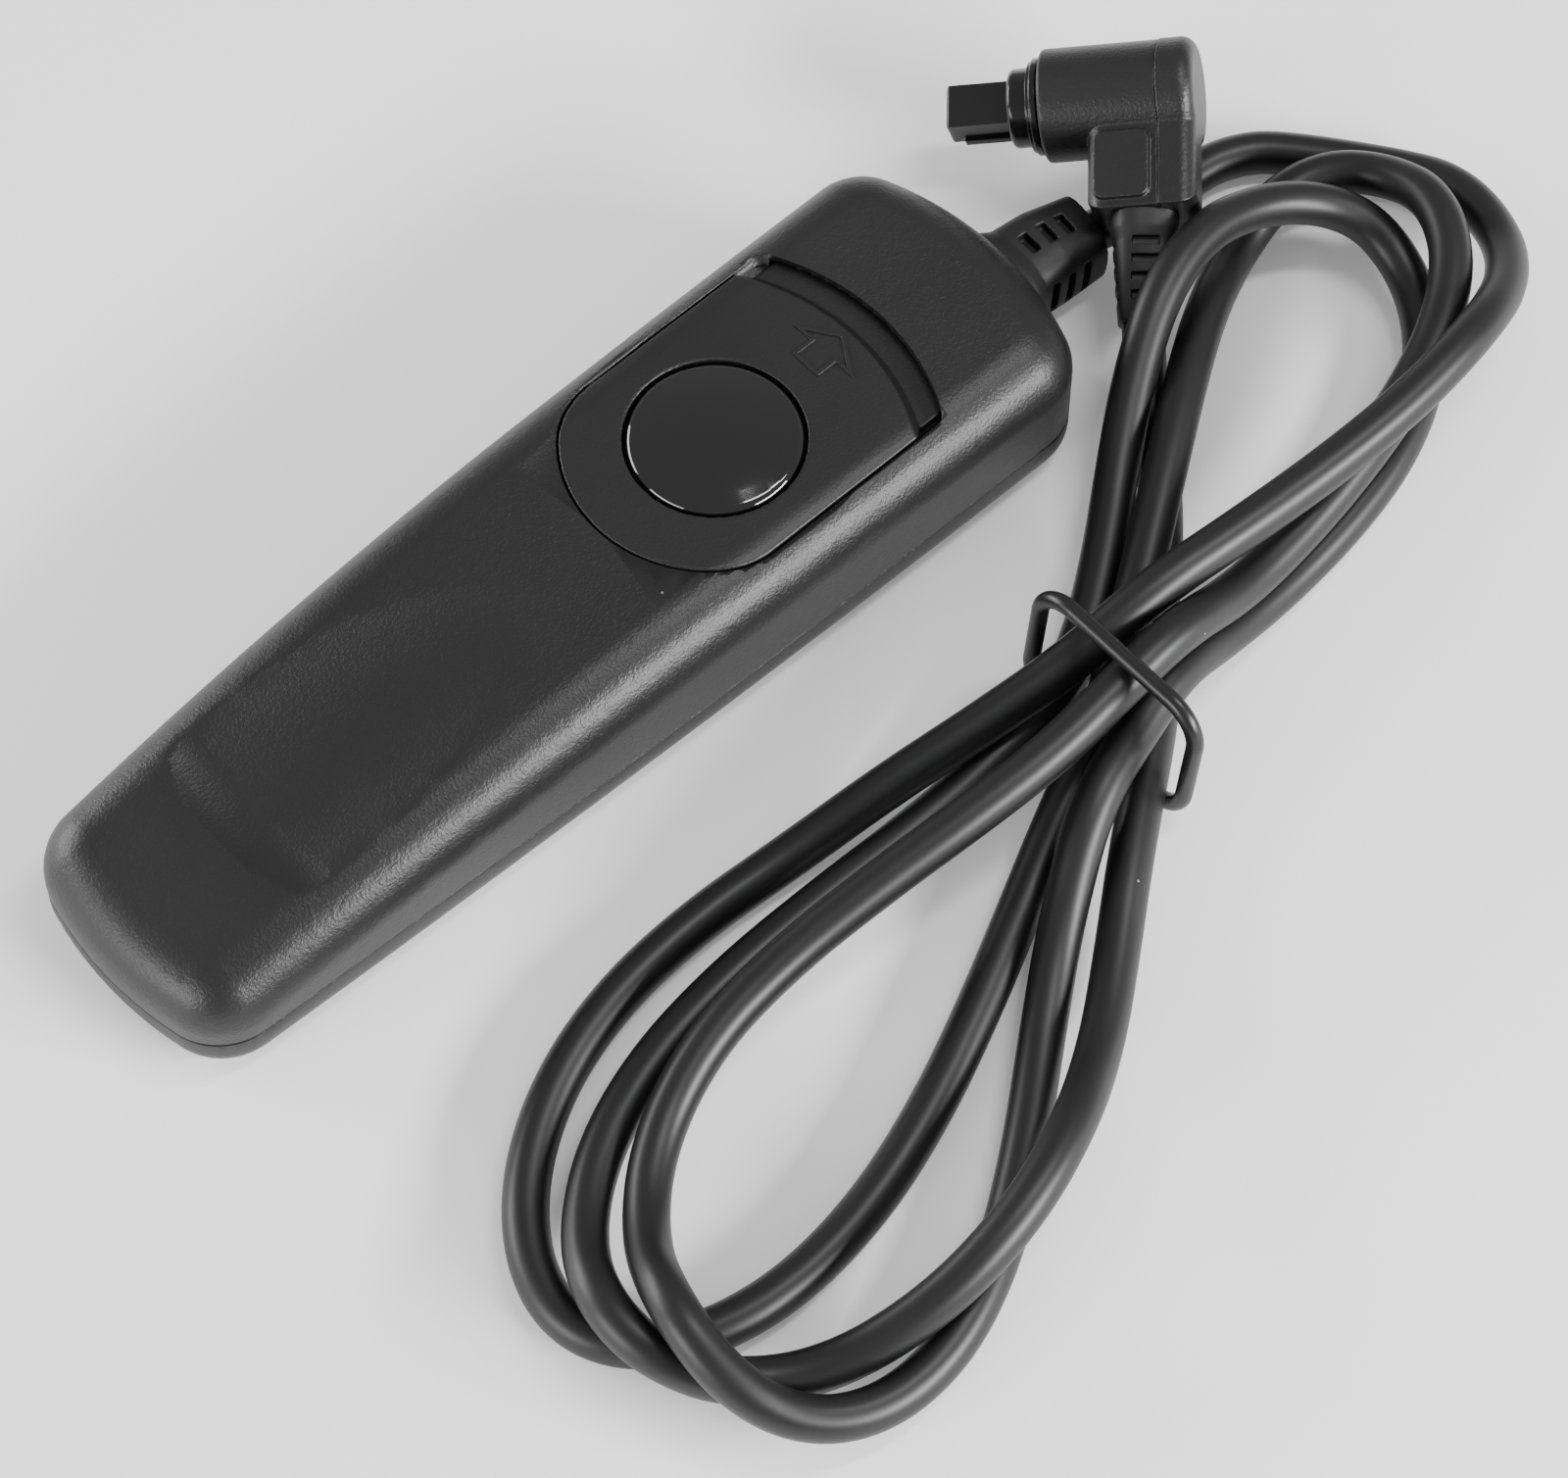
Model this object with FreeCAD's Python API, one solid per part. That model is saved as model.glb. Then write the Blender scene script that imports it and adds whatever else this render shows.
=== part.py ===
import FreeCAD, Part

import math
import os

from FreeCAD import Placement, Rotation, Vector

# A wired remote release: a hand grip with a sliding lock plate and a two-stage button,
# a thin cord wound into a loose hank under a rubber tie, and a right-angle three-contact plug.
# Row frame: the grip lies along X with its cord end towards +X, the floor is z = 0, +Z is up.
# All sizes are in millimetres.

# Grip outline
GRIP_LENGTH = 105.5
TAIL_HALF_WIDTH = 13.3
MID_HALF_WIDTH = 14.95
HEAD_HALF_WIDTH = 15.65
WIDTH_STATION_INSET = 5.75
TAIL_END_RADIUS = 38.0
HEAD_END_RADIUS = 32.0
CORNER_RADIUS = 6.2
TOP_HEIGHT = 16.0
CROWN_START_X = 8.0
CROWN_RADIUS = 333.0
TOP_EDGE_RADIUS = 5.4
BOTTOM_EDGE_RADIUS = 3.0
PARTING_HEIGHT = 4.9
WALL = 1.6
PARTING_GROOVE = 0.3

# Thumb hollow
HOLLOW_TAIL_X = -40.2
HOLLOW_HEAD_X = -6.0
HOLLOW_DEPTH = 1.15
HOLLOW_CROSS_RADIUS = 42.0
HOLLOW_DEEPEST_X = -34.0

# Lock plate and its pocket
BUTTON_X = 18.0
POCKET_HALF_WIDTH = 12.2
POCKET_TAIL_RADIUS = 13.95
POCKET_TAIL_CENTRE_X = 17.75
POCKET_BLEND_RADIUS = 9.0
LIP_X = 37.85
LIP_RADIUS = 23.5
LIP_CORNER_RADIUS = 1.5
LIP_THICKNESS = 0.95
LOCK_TRAVEL = 2.2
PLATE_CLEARANCE = 0.25
PLATE_HEAD_X = 35.35
PLATE_THICKNESS = 1.7
DECK_GAP = 0.2
DECK_THICKNESS = 1.5
DECK_MARGIN = 1.3
TONGUE_TOP = TOP_HEIGHT - 1.15
TONGUE_LENGTH = 3.4
UNDERCUT_SIDE_INSET = 0.8
UNDERCUT_START_X = 33.65
UNDERCUT_END_GAP = 1.0
TONGUE_SIDE_INSET = UNDERCUT_SIDE_INSET + 0.3
TONGUE_TIP_GAP = 2.6
PLATE_BEVEL = 0.9

# Release button
BUTTON_RADIUS = 8.1
BUTTON_CLEARANCE = 0.2
BUTTON_DOME_RISE = 1.3
BUTTON_RIM_RADIUS = 0.8
BUTTON_RIM_HEIGHT = 15.95
BUTTON_WALL = 1.2
BUTTON_SKIRT_HEIGHT = 13.3
BUTTON_TRAVEL = 2.0
STEM_RADIUS = 2.0
STEM_TIP_HEIGHT = 6.9
STEM_TIP_CHAMFER = 0.6
LUG_REACH = 5.8
LUG_HALF_WIDTH = 1.2
LUG_THICKNESS = 0.8
LUG_BASE_HEIGHT = 8.4

# Slider underside
BOSS_WALL = 1.0
RETAINER_RADIUS = 12.0
RETAINER_THICKNESS = 1.2
RETAINER_RIM_WIDTH = 1.6
RETAINER_DROP = 1.6
STEM_CLEARANCE = 0.3
DETENT_THICKNESS = 0.25
DETENT_REACH = 9.0
DETENT_BUMP = 0.9
DETENT_GAP = 0.3
DETENT_PEG_LENGTH = 1.2
DETENT_PEG_WIDTH = 0.8
DETENT_PEG_DROP = 2.8
DETENT_DROP = 2.6
DETENT_WIDTH = 1.0
DETENT_BEND_X = 5.0
DETENT_BUMP_X = 1.2
DETENT_END_RUN = 1.0
DETENT_PEG_GAP = 0.1

# Button spring
SPRING_WIRE = 0.5
SPRING_FOOT_RADIUS = 3.1
SPRING_TOP_RADIUS = 5.6
SPRING_TURNS = 2.5
COIL_STEPS = 6

# Contact set
BASE_THICKNESS = 1.6
BASE_SEAT = 1.0
BASE_HALF_WIDTH = 8.0
BASE_TAIL_X = -8.0
BASE_HEAD_X = 28.4
LEAF_THICKNESS = 0.25
LEAF_PITCH = 0.9
LEAF_HALF_WIDTH = 3.0
LEAF_TAIL_X = -5.6
LEAF_TAIL_STEP = 1.8
LEAF_HEAD_X = 22.0
STACK_TAIL_X = -4.0
STACK_HEAD_X = 3.0
STACK_SCREW_X = (-2.5, 1.5)
STACK_SCREW_RADIUS = 0.7
STACK_HEAD_RADIUS = 1.4
CATCH_GAP = 0.3
CATCH_THICKNESS = 0.9
CATCH_CLEARANCE = 0.15
CATCH_WALL = 1.2
SOLDER_RADIUS = 0.75
WIRE_RADIUS = 0.5

# Case screws, seen from below
CASE_SCREW_PLACES = ((-40.0, 0.0), (44.5, 9.2), (44.5, -9.2))
CASE_SCREW_RADIUS = 1.0
CASE_SCREW_HEAD_RADIUS = 2.0
CASE_SCREW_HEAD = 1.2
CASE_SCREW_SINK = 0.4
CASE_SCREW_LENGTH = 6.5
CASE_SCREW_HOLE = CASE_SCREW_SINK + CASE_SCREW_HEAD + CASE_SCREW_LENGTH + 0.4
CASE_BOSS_RADIUS = 2.7
CROSS_SLOT_WIDTH = 0.5
CROSS_SLOT_DEPTH = 0.5

# Cord
CORD_DIAMETER = 4.1
CORD_RADIUS = CORD_DIAMETER / 2
SEAT_GAP = 0.3

# Grip strain relief
SLEEVE_POWER = 2.9
RELIEF_HEIGHT = 5.1
RELIEF_START_GAP = 0.06
RELIEF_END = (63.6, -0.84, 4.3)
RELIEF_SECTIONS = ((0.0, 5.8, 4.5), (1.3, 5.2, 4.3), (2.6, 4.4, 4.0), (6.0, 4.3, 4.15), (10.85, 3.85, 3.55))
RELIEF_NECK_RADIUS = 3.4
RELIEF_ANCHOR_HALF = (5.0, 3.2)
RELIEF_ANCHOR_THICKNESS = 1.6
RELIEF_SLOT_STATIONS = (3.9, 6.0, 8.1)
RELIEF_SLOT_WIDTH = 1.0
RELIEF_SLOT_DEPTH = 1.0
RELIEF_SLOT_SIDE = 4.0
RELIEF_SLOT_TOP = 2.3

# Cord clamp inside the grip
CLAMP_X = 39.0
CLAMP_WIDTH = 3.0
CLAMP_THICKNESS = 1.0
CLAMP_SCREW_Y = 5.0
CLAMP_SCREW_RADIUS = 0.9

# Plug: its own frame has +X along the nose, +Y down the stem and +Z out of the stem's panel
PLUG_CENTRE = (74.9, 3.16, 11.6)
PLUG_BEARING = 133.5
PLUG_NOSE_DIP = 13.0
PLUG_STEM_ROLL = -12.0
BARREL_RADIUS = 5.35
BARREL_FRONT = 9.4
BARREL_BACK = -1.8
BARREL_EDGE_RADIUS = 0.4
STEM_EDGE_RADIUS = 1.6
STEM_LENGTH = 12.4
STEM_FRONT = 5.0
STEM_TOP = 3.4
STEM_UNDER = 2.4
PANEL_RAISE = 0.5
PANEL_BACK = -1.0
PANEL_FRONT = 4.2
PANEL_START = 4.8
PANEL_END = 11.6
PANEL_CORNER_RADIUS = 1.0
COVER_RIM_BACK = -3.6
COVER_BACK = -5.2
COVER_RADIUS = 5.45
COVER_EDGE_RADIUS = 1.4
COLLAR_RADIUS = 3.75
COLLAR_FRONT = 12.6
COLLAR_BACK = 10.6
COLLAR_STEP_RADIUS = 4.3
COLLAR_STEP_BACK = 10.2
COLLAR_FLANGE_RADIUS = 4.6
COLLAR_FLANGE_BACK = 9.6
COLLAR_TRAVEL = 1.2
COLLAR_BORE = 3.2
COLLAR_SKIRT_RADIUS = 3.6
COLLAR_WELL_RADIUS = 4.75
COLLAR_WELL_FLOOR = 6.2
COLLAR_EDGE_RADIUS = 0.6
COLLAR_SPRING_RADIUS = 4.15
COLLAR_SPRING_WIRE = 0.5
COLLAR_SPRING_TURNS = 3.0
NOSE_TIP = 18.6
NOSE_HALF_WIDTH = 2.15
NOSE_HALF_HEIGHT = 1.65
NOSE_ROOT = 4.5
NOSE_KEY_SETBACK = 1.4
NOSE_KEY = 0.4
NOSE_KEY_HEIGHT = 0.9
NOSE_EDGE_RADIUS = 0.35
CONTACT_RADIUS = 0.5
CONTACT_PITCH = 1.3
CONTACT_DEPTH = 5.0
CONTACT_WALL = 0.12
PLUG_NECK_RADIUS = 2.4
PLUG_NECK_LENGTH = 3.0
PLUG_NECK_CLEARANCE = 0.03
PLUG_CORD_BEARING = 226.2
PLUG_CORD_DIP = 20.7
PLUG_RELIEF_SECTIONS = ((-1.6, 3.2, 3.1), (1.2, 3.15, 3.0), (2.4, 2.95, 2.8), (6.0, 2.7, 2.6), (10.0,
    2.35, 2.35))
PLUG_RELIEF_SLOT_STATIONS = (2.6, 4.3, 6.0, 7.7)
PLUG_RELIEF_SLOT_WIDTH = 0.8
PLUG_RELIEF_SLOT_DEPTH = 0.6
PLUG_RELIEF_SLOT_SIDE = 2.6

# Rubber tie round the middle of the hank
TIE_TUBE_RADIUS = 0.8
TIE_X = 28.0
TIE_LEAN = 0.08
TIE_CENTRE_Y = -40.15
TIE_HALF_WIDTH = 9.6
TIE_TOP = 15.35
TIE_CORNER_RADIUS = 3.6

# The hank: six bights that all pass through the tie. Each has a bearing, a reach, three widths
# that shape its two sides, a bow, the slot where it comes back to the tie, and its heights
# (share of the bight, height of the cord's centre) where strands lie on or under others.
HANK_ENTRY = ((90.0, -11.3), (92.4, -14.5))
HANK_START = (27.8, -36.3)
STATIONS = 18
STATION_EASE = 0.05
BIGHTS = (
    {"name": "outer_top", "bearing": 29.2, "reach": 66.8, "near": 42.2, "middle": 2.8, "far": -5.8,
        "bow": -10.8,
     "slot": (27.9, -35.3),
     "heights": ((0.5, 2.05), (0.58, 4.2), (0.66, 4.9), (0.72, 8.7), (0.78, 12.0), (0.94, 12.1),
                 (0.97, 12.3), (1, 9.3))},
    {"name": "outer_low", "bearing": 185.9, "reach": 73.3, "near": -19.9, "middle": -26.1, "far": 22.1,
        "bow": 5.1,
     "slot": (28.1, -39.7),
     "heights": ((0.03, 7.6), (0.06, 6.4), (0.14, 2.05), (0.92, 2.05), (0.96, 3.0), (1, 4.8))},
    {"name": "middle_top", "bearing": 17.7, "reach": 65.2, "near": 15.6, "middle": 3.1, "far": 5.6,
        "bow": 5.5,
     "slot": (28.4, -41.1),
     "heights": ((0.03, 6.2), (0.075, 7.0), (0.14, 8.2), (0.26, 4.6), (0.3, 2.6), (0.34, 3.6),
                 (0.42, 4.6), (0.48, 5.2), (0.6, 8.6), (0.71, 8.3), (0.9, 6.8), (0.935, 8.9),
                 (0.97, 12.6), (1, 12.2))},
    {"name": "inner_low", "bearing": 191.0, "reach": 70.8, "near": -1.6, "middle": -73.8, "far": 46.4,
        "bow": 9.0,
     "slot": (27.9, -43.8),
     "heights": ((0.03, 11.9), (0.08, 10.8), (0.13, 8.8), (0.2, 6.2), (0.24, 5.5), (0.32, 3.7),
                 (0.35, 4.4), (0.41, 9.5), (0.455, 12.0), (0.475, 9.5), (0.51, 8.0), (0.56, 5.6),
                 (0.6, 3.7), (0.9, 2.05), (0.935, 5.9), (0.965, 9.4), (1, 8.2))},
    {"name": "inner_top", "bearing": 21.5, "reach": 60.1, "near": -2.7, "middle": -48.4, "far": 32.5,
        "bow": -0.6,
     "slot": (27.7, -34.8),
     "heights": ((0.02, 8.2), (0.05, 8.2), (0.08, 3.9), (0.13, 2.05), (0.41, 2.8), (0.46, 4.3),
                 (0.52, 5.8), (0.6, 7.6), (0.67, 9.8), (0.74, 11.7), (0.8, 10.0), (0.87, 6.0),
                 (0.92, 4.7), (0.96, 4.0), (1, 4.2))},
    {"name": "middle_low", "bearing": 201.0, "reach": 71.8, "near": -19.2, "middle": -39.8, "far": 34.8,
        "bow": -8.2,
     "slot": (27.9, -45.6),
     "heights": ((0.03, 3.3), (0.07, 2.05), (0.36, 4.3), (0.42, 7.0), (0.465, 8.2), (0.49, 6.8),
                 (0.54, 5.6), (0.59, 2.9), (0.65, 3.5), (0.72, 7.0), (0.765, 8.7), (0.795, 9.3),
                 (0.86, 5.9), (0.885, 3.4), (0.92, 3.4), (0.96, 4.4), (1, 4.0))},
)

# Routes of the two free stretches between the hank and the two strain reliefs
LEAD_FIRST_RUN = 4.3
LEAD_POINTS = ((73.2, -1.75, 2.05), (78.54, -1.62, 2.05), (82.2, -2.8, 2.05))
LEAD_LAST_RUN = 3.8
TAIL_FIRST_RUN = 3.4
TAIL_POINTS = ((38.6, -35.7, 2.05), (46.2, -29.2, 2.05), (53.6, -21.0, 2.2))
TAIL_LAST_RUN = 5.0


def vec(x, y, z=0.0):
    return Vector(float(x), float(y), float(z))


def export(shape, name):
    """Write one node's solids to its own file."""
    os.makedirs("parts", exist_ok=True)
    shape.exportStep("parts/" + name + ".step")
    print(name, "solids", len(shape.Solids), "volume", round(shape.Volume, 2), "valid", shape.isValid())


def circle_through(a, b, c):
    """Centre and radius of the circle through three points of a plane."""
    ax, ay = a
    bx, by = b
    cx, cy = c
    det = 2 * (ax * (by - cy) + bx * (cy - ay) + cx * (ay - by))
    sa, sb, sc = ax * ax + ay * ay, bx * bx + by * by, cx * cx + cy * cy
    ux = (sa * (by - cy) + sb * (cy - ay) + sc * (ay - by)) / det
    uy = (sa * (cx - bx) + sb * (ax - cx) + sc * (bx - ax)) / det
    return (ux, uy), math.hypot(ax - ux, ay - uy)


def meet(centre_a, radius_a, centre_b, radius_b, towards):
    """Where two circles cross, taking the crossing that lies further towards +X or -X."""
    dx, dy = centre_b[0] - centre_a[0], centre_b[1] - centre_a[1]
    gap = math.hypot(dx, dy)
    along = (radius_a ** 2 - radius_b ** 2 + gap ** 2) / (2 * gap)
    across = math.sqrt(radius_a ** 2 - along ** 2)
    mx, my = centre_a[0] + along * dx / gap, centre_a[1] + along * dy / gap
    one = (mx - across * dy / gap, my + across * dx / gap)
    two = (mx + across * dy / gap, my - across * dx / gap)
    return max((one, two), key=lambda p: p[0] * towards)


HEAD_X = GRIP_LENGTH / 2
TAIL_X = -HEAD_X
SIDE_CENTRE, SIDE_RADIUS = circle_through(
    (TAIL_X + WIDTH_STATION_INSET, TAIL_HALF_WIDTH), (0.0,
        MID_HALF_WIDTH), (HEAD_X - WIDTH_STATION_INSET, HEAD_HALF_WIDTH)
)


def prism(wire, low, high):
    """A flat wire at z = 0 raised into a solid between two heights."""
    face = Part.Face(wire)
    face.translate(vec(0, 0, low))
    return face.extrude(vec(0, 0, high - low))


def upright_edges(solid):
    """Straight edges that stand along Z."""
    picked = []
    for edge in solid.Edges:
        box = edge.BoundBox
        if box.ZLength > 0.5 and max(box.XLength, box.YLength) < 1e-4:
            picked.append(edge)
    return picked


def grip_prism(inset, low, high):
    """The grip's plan outline, moved inwards by inset, as a prism with rounded corners."""
    tail_centre, tail_radius = (TAIL_X + TAIL_END_RADIUS, 0.0), TAIL_END_RADIUS - inset
    head_centre, head_radius = (HEAD_X - HEAD_END_RADIUS, 0.0), HEAD_END_RADIUS - inset
    side_radius = SIDE_RADIUS - inset
    tail = meet(tail_centre, tail_radius, SIDE_CENTRE, side_radius, -1)
    head = meet(head_centre, head_radius, SIDE_CENTRE, side_radius, 1)
    side_mid = (0.0, SIDE_CENTRE[1] + math.sqrt(side_radius ** 2 - SIDE_CENTRE[0] ** 2))
    edges = [
        Part.Arc(vec(*tail), vec(*side_mid), vec(*head)).toShape(),
        Part.Arc(vec(*head), vec(HEAD_X - inset, 0), vec(head[0], -head[1])).toShape(),
        Part.Arc(vec(head[0], -head[1]), vec(0, -side_mid[1]), vec(tail[0], -tail[1])).toShape(),
        Part.Arc(vec(tail[0], -tail[1]), vec(TAIL_X + inset, 0), vec(*tail)).toShape(),
    ]
    solid = prism(Part.Wire(edges), low, high)
    return solid.makeFillet(CORNER_RADIUS - inset, upright_edges(solid))


def crown(x):
    """Height of the grip's top line: level at the head, a long arc falling to the tail."""
    if x >= CROWN_START_X:
        return TOP_HEIGHT
    return TOP_HEIGHT - CROWN_RADIUS + math.sqrt(CROWN_RADIUS ** 2 - (CROWN_START_X - x) ** 2)


def crown_prism(inset, low):
    """Everything under the top line, moved down by inset."""
    radius = CROWN_RADIUS - inset
    centre_z = TOP_HEIGHT - CROWN_RADIUS
    reach = CROWN_START_X - (TAIL_X - 2)

    def on_arc(run):
        return vec(CROWN_START_X - run, 0, centre_z + math.sqrt(radius ** 2 - run ** 2))

    far = vec(HEAD_X + 2, 0, TOP_HEIGHT - inset)
    knee = vec(CROWN_START_X, 0, TOP_HEIGHT - inset)
    tail = on_arc(reach)
    edges = [
        Part.LineSegment(far, knee).toShape(),
        Part.Arc(knee, on_arc(reach / 2), tail).toShape(),
        Part.LineSegment(tail, vec(tail.x, 0, low)).toShape(),
        Part.LineSegment(vec(tail.x, 0, low), vec(far.x, 0, low)).toShape(),
        Part.LineSegment(vec(far.x, 0, low), far).toShape(),
    ]
    face = Part.Face(Part.Wire(edges))
    face.translate(vec(0, -HEAD_HALF_WIDTH * 2, 0))
    return face.extrude(vec(0, HEAD_HALF_WIDTH * 4, 0))


def middle_normal(face):
    u0, u1, v0, v1 = face.ParameterRange
    return face.normalAt((u0 + u1) / 2, (v0 + v1) / 2)


def rim_edges(solid, low):
    """The edges above low where a side wall meets the top."""
    picked = []
    for edge in solid.Edges:
        if edge.BoundBox.ZMin < low:
            continue
        ups = [abs(middle_normal(f).z) for f in solid.ancestorsOfType(edge, Part.Face)]
        if max(ups) > 0.7 and min(ups) < 0.3:
            picked.append(edge)
    return picked


def upper_blank(inset, low):
    """The upper half of the grip as a solid body, inset from the real surface all round."""
    body = grip_prism(inset, low, TOP_HEIGHT + 2).common(crown_prism(inset, low - 1))
    return body.makeFillet(TOP_EDGE_RADIUS - inset, rim_edges(body, low + 1))


def lower_blank(inset):
    """The lower half of the grip with its rounded bottom edge."""
    body = grip_prism(inset, inset, PARTING_HEIGHT)
    bottom = [e for e in body.Edges if e.BoundBox.ZMax < inset + 0.01]
    return body.makeFillet(BOTTOM_EDGE_RADIUS - inset, bottom)


def pocket_wire(clearance, head_x):
    """Outline of the lock plate's pocket: a round tail, straight sides and a shallow round head."""
    half = POCKET_HALF_WIDTH - clearance
    tail_r = POCKET_TAIL_RADIUS - clearance
    tail_c = POCKET_TAIL_CENTRE_X
    head_c = head_x - LIP_RADIUS
    tail_x = tail_c - math.sqrt(tail_r ** 2 - half ** 2)
    side_x = head_c + math.sqrt(LIP_RADIUS ** 2 - half ** 2)
    a, b = vec(tail_x, half), vec(side_x, half)
    c, d = vec(side_x, -half), vec(tail_x, -half)
    edges = [
        Part.LineSegment(a, b).toShape(),
        Part.Arc(b, vec(head_x, 0), c).toShape(),
        Part.LineSegment(c, d).toShape(),
        Part.Arc(d, vec(tail_c - tail_r, 0), a).toShape(),
    ]
    return Part.Wire(edges)


def pocket_prism(clearance, head_x, low, high):
    """The pocket's outline, moved inwards by clearance, as a prism with its four corners rounded."""
    solid = prism(pocket_wire(clearance, head_x), low, high)
    head = [e for e in upright_edges(solid) if e.BoundBox.XMin > BUTTON_X]
    solid = solid.makeFillet(LIP_CORNER_RADIUS, head)
    side_y = POCKET_HALF_WIDTH - clearance - 0.01
    tail = [e for e in upright_edges(solid) if e.BoundBox.XMin < BUTTON_X and abs(e.BoundBox.YMax) > side_y]
    return solid.makeFillet(POCKET_BLEND_RADIUS - clearance, tail)


def slot_prism(radius, travel, low, high):
    """A round hole about the button, lengthened towards the head by travel."""
    start = Part.makeCylinder(radius, high - low, vec(BUTTON_X, 0, low))
    end = Part.makeCylinder(radius, high - low, vec(BUTTON_X + travel, 0, low))
    middle = Part.makeBox(travel, 2 * radius, high - low, vec(BUTTON_X, -radius, low))
    return start.fuse([end, middle]).removeSplitter()


PLATE_BASE = TOP_HEIGHT - PLATE_THICKNESS
DECK_TOP = PLATE_BASE - DECK_GAP
DECK_BASE = DECK_TOP - DECK_THICKNESS
RETAINER_TOP_HEIGHT = DECK_BASE - RETAINER_DROP
DETENT_PEG_BASE = DECK_BASE - DETENT_PEG_DROP
DETENT_BASE = DECK_BASE - DETENT_DROP
BOSS_INNER = BUTTON_RADIUS + BUTTON_CLEARANCE
BOSS_OUTER = BOSS_INNER + BOSS_WALL
RELIEF_HOLE_RADIUS = RELIEF_NECK_RADIUS + 0.05
CATCH_TOP = LUG_BASE_HEIGHT - CATCH_CLEARANCE
CATCH_X = BUTTON_X + LUG_REACH + CATCH_GAP
DETENT_FAR = -RETAINER_RADIUS - DETENT_GAP - DETENT_BUMP


def hollow_tool():
    """A long shallow scoop turned about a line above the grip and parallel to it."""
    axis_z = crown(HOLLOW_DEEPEST_X) - HOLLOW_DEPTH + HOLLOW_CROSS_RADIUS
    start = vec(HOLLOW_TAIL_X - 1.0, 0, crown(HOLLOW_TAIL_X) + 0.9)
    steep = vec(HOLLOW_TAIL_X + 1.2, 0, crown(HOLLOW_TAIL_X) - 0.25)
    deep = vec(HOLLOW_DEEPEST_X, 0, crown(HOLLOW_DEEPEST_X) - HOLLOW_DEPTH)
    middle_x = (HOLLOW_DEEPEST_X + HOLLOW_HEAD_X) / 2
    middle = vec(middle_x, 0, crown(middle_x) - 0.8 * HOLLOW_DEPTH)
    end = vec(HOLLOW_HEAD_X + 2, 0, crown(HOLLOW_HEAD_X) + 0.35)
    edges = [
        Part.Arc(start, steep, deep).toShape(),
        Part.Arc(deep, middle, end).toShape(),
        Part.LineSegment(end, vec(end.x, 0, axis_z)).toShape(),
        Part.LineSegment(vec(end.x, 0, axis_z), vec(start.x, 0, axis_z)).toShape(),
        Part.LineSegment(vec(start.x, 0, axis_z), start).toShape(),
    ]
    return Part.Face(Part.Wire(edges)).revolve(vec(0, 0, axis_z), vec(1, 0, 0), 360)


def relief_hole():
    """The round opening in the head wall for the strain relief's neck."""
    return Part.makeCylinder(RELIEF_HOLE_RADIUS, WALL * 4, vec(HEAD_X - WALL * 3, 0, RELIEF_HEIGHT),
        vec(1, 0, 0))


def upper_shell():
    outer = upper_blank(0.0, PARTING_HEIGHT)
    shell = outer.cut(upper_blank(WALL, PARTING_HEIGHT - 1))
    pad = pocket_prism(-DECK_MARGIN, LIP_X + TONGUE_LENGTH, DECK_BASE, TOP_HEIGHT - 1.0).common(outer)
    shell = shell.fuse(pad)
    for x, y in CASE_SCREW_PLACES:
        boss = Part.makeCylinder(CASE_BOSS_RADIUS, TOP_HEIGHT, vec(x, y, PARTING_HEIGHT + 0.2))
        shell = shell.fuse(boss.common(upper_blank(0.5 * WALL, PARTING_HEIGHT - 1)))
    for side in (-1, 1):
        peg = Part.makeBox(DETENT_PEG_LENGTH, DETENT_PEG_WIDTH, DECK_BASE - DETENT_PEG_BASE + 0.2,
                           vec(BUTTON_X + side * DETENT_REACH - DETENT_PEG_LENGTH / 2,
                               DETENT_FAR + DETENT_PEG_GAP, DETENT_PEG_BASE))
        shell = shell.fuse(peg)
    shell = shell.cut(pocket_prism(0.0, LIP_X, DECK_TOP, TOP_HEIGHT + 2))
    half = POCKET_HALF_WIDTH - UNDERCUT_SIDE_INSET
    undercut_end = LIP_X + TONGUE_LENGTH - TONGUE_TIP_GAP + LOCK_TRAVEL + UNDERCUT_END_GAP
    undercut = Part.makeBox(undercut_end - UNDERCUT_START_X, 2 * half,
        TOP_HEIGHT - LIP_THICKNESS - DECK_TOP,
                            vec(UNDERCUT_START_X, -half, DECK_TOP))
    shell = shell.cut(undercut)
    shell = shell.cut(slot_prism(BOSS_OUTER + SEAT_GAP, LOCK_TRAVEL, DECK_BASE - 1, DECK_TOP + 1))
    shell = shell.cut(hollow_tool())
    for x, y in CASE_SCREW_PLACES:
        shell = shell.cut(Part.makeCylinder(CASE_SCREW_RADIUS, CASE_SCREW_HOLE, vec(x, y, 0)))
    return shell.cut(relief_hole()).removeSplitter()


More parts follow.
